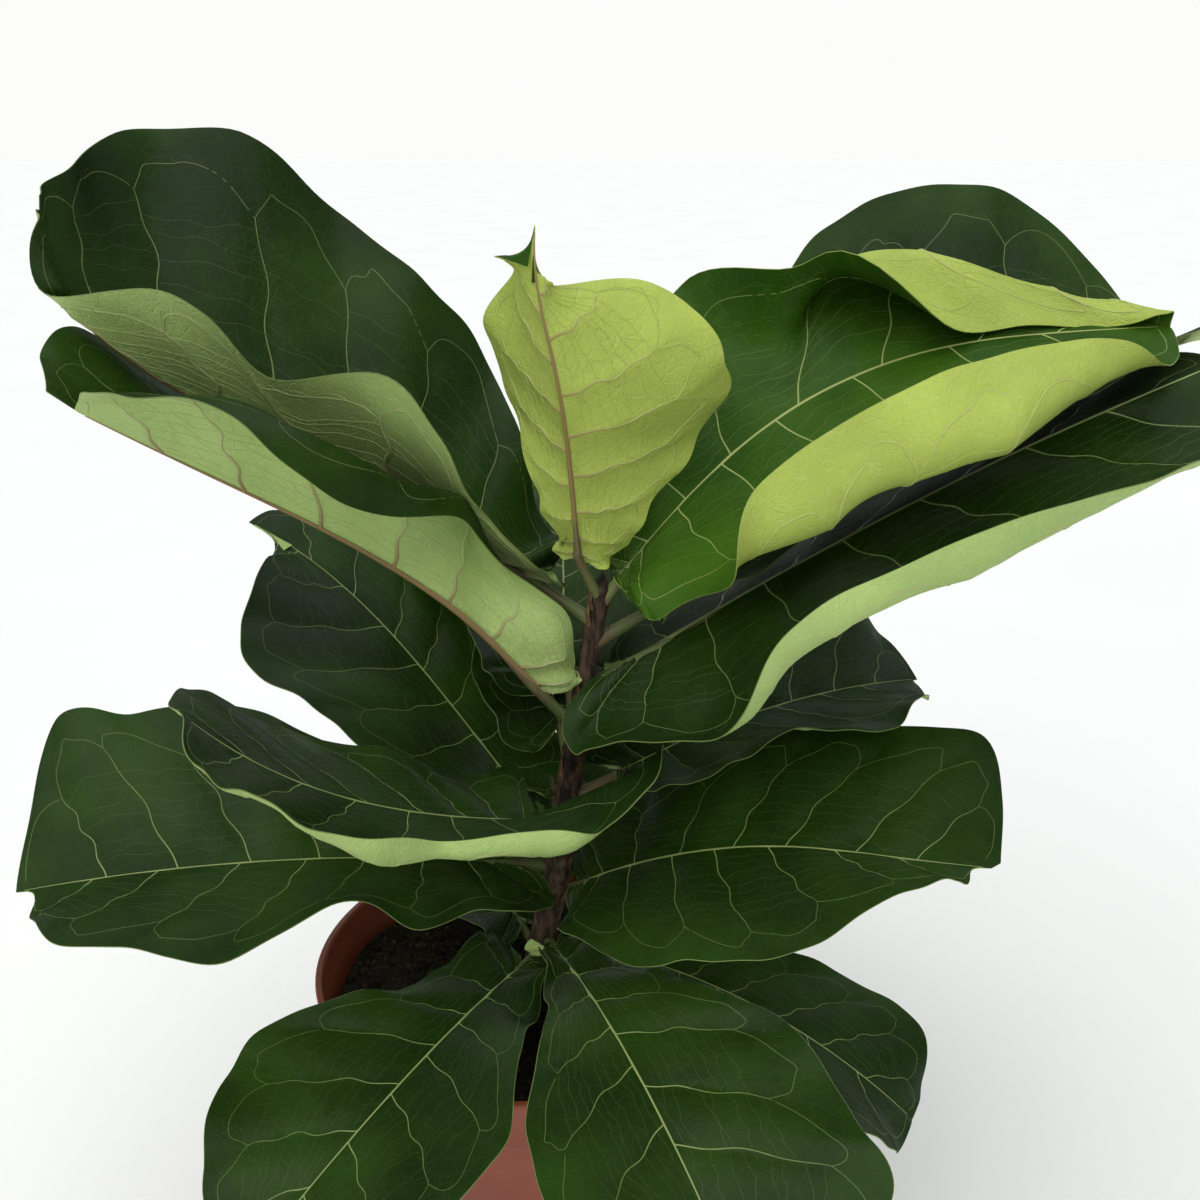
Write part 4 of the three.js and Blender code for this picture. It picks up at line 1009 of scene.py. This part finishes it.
# ---- Materials ----
class Look:
    """A material built from nodes around one Principled shader.

    Patterns are scaled per metre of the object, or per centimetre of the flat blade. Bumps are in metres.
    """

    def __init__(self, name, specular=0.5):
        self.material = bpy.data.materials.new(name)
        self.material.use_nodes = True
        self.tree = self.material.node_tree
        self.shader = self.tree.nodes["Principled BSDF"]
        self.shader.inputs["Specular IOR Level"].default_value = specular
        self.place = self.node("TexCoord").outputs["Object"]

    def node(self, kind, inputs=None, **settings):
        """A new node. An input is a value, or the socket that feeds it."""
        made = self.tree.nodes.new("ShaderNode" + kind)
        for key, value in settings.items():
            setattr(made, key, value)
        for key, value in (inputs or {}).items():
            if isinstance(value, bpy.types.NodeSocket):
                self.tree.links.new(value, made.inputs[key])
            else:
                made.inputs[key].default_value = value
        return made

    def flat(self):
        return self.node("UVMap", uv_map="flat").outputs["UV"]

    def scaled(self, height):
        """The place with its height scaled: patterns are drawn out upwards below 1 and flattened above."""
        return self.node("Mapping", {"Vector": self.place, "Scale": (1, 1, height)}).outputs["Vector"]

    def noise(self, scale, detail=4, rough=0.55, place=None):
        inputs = {"Vector": place or self.place, "Scale": scale, "Detail": detail, "Roughness": rough}
        return self.node("TexNoise", inputs).outputs["Fac"]

    def mottled(self, scale, detail, low, high, spread=0.3):
        """A value that noise moves between low and high."""
        return self.span(self.noise(scale, detail), spread, 1 - spread, low, high)

    def cells(self, scale, place=None, feature="DISTANCE_TO_EDGE"):
        inputs = {"Vector": place or self.place, "Scale": scale}
        return self.node("TexVoronoi", inputs, feature=feature).outputs["Distance"]

    def warped(self, place, scale, amount):
        """The place, shifted a little by noise so that patterns on it lose their regularity."""
        shift = self.node("TexNoise", {"Vector": place, "Scale": scale, "Detail": 2}).outputs["Color"]
        moved = self.node("VectorMath", {0: shift, 1: (amount,) * 3}, operation="MULTIPLY").outputs[0]
        return self.node("VectorMath", {0: place, 1: moved}, operation="ADD").outputs[0]

    def span(self, value, low, high, to_low=0.0, to_high=1.0):
        """The value taken smoothly from one range to another."""
        inputs = {"Value": value, "From Min": low, "From Max": high, "To Min": to_low, "To Max": to_high}
        return self.node("MapRange", inputs, interpolation_type="SMOOTHSTEP").outputs["Result"]

    def math(self, operation, a, b):
        return self.node("Math", {0: a, 1: b}, operation=operation).outputs[0]

    def blend(self, share, a, b):
        made = self.node("Mix", {"Factor": share}, data_type="RGBA")
        for socket, value in ((made.inputs[6], a), (made.inputs[7], b)):
            if isinstance(value, bpy.types.NodeSocket):
                self.tree.links.new(value, socket)
            else:
                socket.default_value = (*value, 1)
        return made.outputs[2]

    def cover(self, colour, share, most, tint):
        """The colour, covered with a tint where share says and by most at the most."""
        return self.blend(self.math("MULTIPLY", share, most), colour, tint)

    def rank(self):
        """How large the vein is, from 0 to 1."""
        return self.node("Attribute", attribute_name="rank").outputs["Fac"]

    def bump(self, height, distance, strength=1.0, below=None):
        inputs = {"Height": height, "Distance": distance, "Strength": strength}
        if below is not None:
            inputs["Normal"] = below
        return self.node("Bump", inputs).outputs["Normal"]

    def finish(self, colour, roughness, normal):
        self.tree.links.new(colour, self.shader.inputs["Base Color"])
        self.tree.links.new(roughness, self.shader.inputs["Roughness"])
        self.tree.links.new(normal, self.shader.inputs["Normal"])
        return self.material


def upper_face(name, dark, light, vein_tint, rough):
    """The waxy upper face: uneven green with a faint net of the smallest veins, duller at grazing angles."""
    look = Look(name, specular=0.12)
    flat = look.flat()
    tone = look.span(look.noise(14, 5), 0.35, 0.7)
    colour = look.blend(tone, dark, light)
    warped = look.warped(flat, 1.3, 0.35)
    net = look.span(look.cells(1.7, warped), 0.0, 0.06, 1, 0)
    colour = look.cover(colour, net, 0.05, vein_tint)
    fine = look.cells(14, flat, "F1")
    normal = look.bump(look.noise(170, 3), 0.0009, 0.35)
    normal = look.bump(net, 0.0002, 0.35, normal)
    normal = look.bump(fine, 0.00012, 0.4, normal)
    roughness = look.mottled(30, 4, rough - 0.05, rough + 0.1)
    grazing = look.node("LayerWeight", {"Blend": 0.5}).outputs["Facing"]
    roughness = look.math("ADD", roughness, look.span(grazing, 0.55, 0.9, 0, 0.45))
    return look.finish(colour, roughness, normal)


def under_face(name, pale, deep, net_tint):
    """The matte lower face: its own pale green, brightened as painted light for light shining through the
    leaf, with a fine raised net.
    """
    look = Look(name, specular=0.3)
    flat = look.flat()
    tone = look.span(look.noise(18, 5), 0.3, 0.7)
    colour = look.blend(tone, pale, deep)
    warped = look.warped(flat, 1.3, 0.35)
    net = look.span(look.cells(1.9, warped), 0.0, 0.09, 1, 0)
    finer = look.span(look.cells(5.5, warped), 0.0, 0.14, 1, 0)
    colour = look.cover(colour, net, 0.22, net_tint)
    colour = look.cover(colour, finer, 0.15, net_tint)
    normal = look.bump(net, 0.0003, 0.5)
    normal = look.bump(finer, 0.0002, 0.5, normal)
    return look.finish(colour, look.mottled(60, 3, 0.55, 0.72), normal)


def vein_line(name, blade_tint, vein_tint, root_tint, rough):
    """Veins: the finest ones come close to the blade's own colour, and the thickest ones take the root's."""
    look = Look(name, specular=0.3)
    spotted = look.mottled(120, 3, 0.75, 1.0, 0.2)
    share = look.math("MULTIPLY", look.span(look.rank(), 0.0, 0.75, 0.05, 0.95), spotted)
    colour = look.blend(share, blade_tint, vein_tint)
    colour = look.blend(look.span(look.rank(), 0.7, 1.0), colour, root_tint)
    normal = look.bump(look.noise(400, 2), 0.0003, 0.4)
    return look.finish(colour, look.mottled(90, 2, rough - 0.05, rough + 0.08, 0.2), normal)


def stalk_look(name, green, brown):
    """Petioles: green, with brown corky patches."""
    look = Look(name, specular=0.35)
    share = look.span(look.noise(45, 4), 0.42, 0.7)
    colour = look.blend(share, green, brown)
    normal = look.bump(look.noise(300, 4), 0.0006, 0.6)
    return look.finish(colour, look.mottled(80, 3, 0.42, 0.6), normal)


def bark_look():
    """Dark lengthwise plates with paler patches."""
    look = Look("bark", specular=0.25)
    stretched = look.scaled(0.22)
    plates = look.span(look.noise(260, 6, 0.65, stretched), 0.35, 0.68)
    colour = look.blend(plates, (0.014, 0.009, 0.006), (0.115, 0.073, 0.045))
    pale = look.span(look.noise(75, 4), 0.56, 0.74)
    colour = look.cover(colour, pale, 0.55, (0.23, 0.18, 0.125))
    normal = look.bump(look.noise(300, 7, 0.7, stretched), 0.0022, 0.9)
    return look.finish(colour, look.span(plates, 0, 1, 0.92, 0.7), normal)


def papery_look():
    """Dry brown sheaths with lengthwise fibres."""
    look = Look("dry_stipule", specular=0.25)
    stretched = look.scaled(0.2)
    share = look.span(look.noise(420, 4, 0.6, stretched), 0.35, 0.7)
    colour = look.blend(share, (0.055, 0.028, 0.012), (0.22, 0.13, 0.062))
    normal = look.bump(look.noise(520, 3, 0.6, stretched), 0.0006, 0.8)
    return look.finish(colour, look.mottled(90, 2, 0.6, 0.85), normal)


def soil_look(name, dark, light, rough):
    """Grainy matt soil or chips, darker where they are damp."""
    look = Look(name, specular=0.2)
    share = look.span(look.noise(420, 6, 0.7), 0.38, 0.7)
    colour = look.blend(share, dark, light)
    damp = look.span(look.noise(26, 3), 0.4, 0.65)
    colour = look.cover(colour, damp, 0.5, dark)
    normal = look.bump(look.noise(700, 6, 0.7), 0.0015, 0.9)
    return look.finish(colour, look.mottled(140, 3, rough - 0.1, rough + 0.08), normal)


def plastic_look():
    """Moulded terracotta-red plastic, with faint marks of handling and dust towards the foot."""
    look = Look("pot_plastic", specular=0.45)
    tone = look.span(look.noise(11, 4), 0.35, 0.7)
    colour = look.blend(tone, (0.21, 0.042, 0.022), (0.27, 0.06, 0.031))
    marks = look.span(look.noise(70, 6, 0.7, look.scaled(5)), 0.6, 0.75)
    colour = look.cover(colour, marks, 0.25, (0.42, 0.17, 0.11))
    height = look.node("SeparateXYZ", {"Vector": look.place}).outputs["Z"]
    dust = look.math("MULTIPLY", look.span(height, 0.0, 0.06, 1, 0), look.span(look.noise(90, 5), 0.35, 0.7))
    colour = look.cover(colour, dust, 0.5, (0.3, 0.2, 0.14))
    normal = look.bump(look.noise(900, 3), 0.00025, 0.5)
    return look.finish(colour, look.mottled(35, 4, 0.4, 0.58), normal)


def floor_look():
    look = Look("floor", specular=0.2)
    colour = look.blend(look.span(look.noise(3, 4), 0.3, 0.7), (0.91, 0.91, 0.905), (0.93, 0.93, 0.925))
    roughness = look.mottled(9, 3, 0.8, 0.9)
    return look.finish(colour, roughness, look.bump(look.noise(120, 4), 0.0004, 0.3))


# ---- Stage ----
def build_floor():
    """A wide pale floor, a little below the pot."""
    mesh = bpy.data.meshes.new("floor")
    mesh.from_pydata(circle(FLOOR_RADIUS, FLOOR_SIDES), [], [list(range(FLOOR_SIDES))])
    mesh.materials.append(floor_look())
    floor = add_object("floor", mesh)
    floor.location.z = -FLOOR_DROP


def build_light():
    """A soft sky of studio light that is brightest low down, and the lamps."""
    bpy.context.scene.view_settings.view_transform = "Standard"
    world = bpy.data.worlds.new("studio")
    bpy.context.scene.world = world
    world.use_nodes = True
    tree = world.node_tree
    direction = tree.nodes.new("ShaderNodeTexCoord").outputs["Generated"]
    split = tree.nodes.new("ShaderNodeSeparateXYZ")
    tree.links.new(direction, split.inputs[0])
    ramp = tree.nodes.new("ShaderNodeValToRGB")
    stops = ((HORIZON_ENDS, HORIZON_LIGHT), (ZENITH_STARTS, ZENITH_LIGHT))
    for stop, (position, tint) in zip(ramp.color_ramp.elements, stops):
        stop.position = position
        stop.color = (*tint, 1)
    tree.links.new(split.outputs["Z"], ramp.inputs[0])
    tree.links.new(ramp.outputs[0], tree.nodes["Background"].inputs["Color"])

    for name, spin, tilt, strength, spread, tint in LAMPS:
        lamp = bpy.data.lights.new(name, "SUN")
        lamp.energy = strength
        lamp.angle = math.radians(spread)
        lamp.color = tint
        made = add_object(name, lamp)
        a, e = math.radians(spin), math.radians(tilt)
        towards = Vector((math.cos(e) * math.cos(a), math.cos(e) * math.sin(a), math.sin(e)))
        made.rotation_euler = towards.to_track_quat("Z", "Y").to_euler()
        made.location = towards * 2


def build_camera():
    """The photograph's view."""
    lens = bpy.data.cameras.new("camera")
    lens.sensor_width = SENSOR_WIDTH
    lens.lens = SENSOR_WIDTH / 2 / math.tan(math.radians(CAMERA_FIELD / 2))
    lens.clip_start = 0.01
    camera = add_object("camera", lens)
    camera.location = np.array(CAMERA_PLACE) * MM
    camera.rotation_euler = (math.radians(90 - CAMERA_PITCH), 0, 0)
    bpy.context.scene.camera = camera


# In the order of UPPER, UNDER, VEIN, RIDGE, MARGIN and STALK.
MATURE = [
    upper_face("leaf_upper", (0.007, 0.023, 0.0015), (0.02, 0.054, 0.0045), (0.09, 0.16, 0.03), 0.38),
    # Painted light: the lower face's greens are the leaf's own pale colour brightened to stand in for light
    # shining through the leaf, and the ridges' blade tint matches them.
    under_face("leaf_under", (0.4, 0.55, 0.17), (0.3, 0.44, 0.13), (0.5, 0.6, 0.25)),
    vein_line("leaf_vein", (0.012, 0.034, 0.005), (0.17, 0.23, 0.065), (0.26, 0.32, 0.11), 0.42),
    vein_line("leaf_ridge", (0.38, 0.48, 0.17), (0.4, 0.42, 0.19), (0.24, 0.16, 0.065), 0.55),
    vein_line("leaf_margin", (0.14, 0.19, 0.05), (0.2, 0.26, 0.07), (0.2, 0.26, 0.07), 0.45),
    stalk_look("leaf_stalk", (0.1, 0.14, 0.04), (0.13, 0.09, 0.045)),
]
YOUNG = [
    upper_face("young_upper", (0.018, 0.058, 0.0025), (0.042, 0.115, 0.006), (0.2, 0.3, 0.06), 0.42),
    # Painted light: the lower face's greens are the young leaf's own pale colour brightened to stand in for
    # light shining through the leaf, and the ridges' blade tint matches them.
    under_face("young_under", (0.42, 0.53, 0.09), (0.31, 0.4, 0.065), (0.52, 0.56, 0.18)),
    vein_line("young_vein", (0.04, 0.1, 0.008), (0.28, 0.36, 0.09), (0.34, 0.4, 0.12), 0.42),
    vein_line("young_ridge", (0.4, 0.5, 0.11), (0.42, 0.44, 0.15), (0.27, 0.19, 0.07), 0.5),
    vein_line("young_margin", (0.26, 0.33, 0.07), (0.34, 0.42, 0.1), (0.34, 0.42, 0.1), 0.45),
    stalk_look("young_stalk", (0.16, 0.2, 0.06), (0.14, 0.1, 0.05)),
]

build_camera()
build_floor()
build_light()
pot_piece([plastic_look()])
soil_crumbs = soil_look("soil", (0.006, 0.0045, 0.0035), (0.035, 0.025, 0.017), 0.9)
soil_chips = soil_look("soil_chips", (0.02, 0.013, 0.008), (0.1, 0.068, 0.042), 0.85)
soil_piece([soil_crumbs, soil_chips])
trunk_piece([bark_look()])
stipules_piece([papery_look()])
for number, name in enumerate(LEAVES, start=1):
    leaf_piece(name, number, YOUNG if name in YOUNG_LEAVES else MATURE)
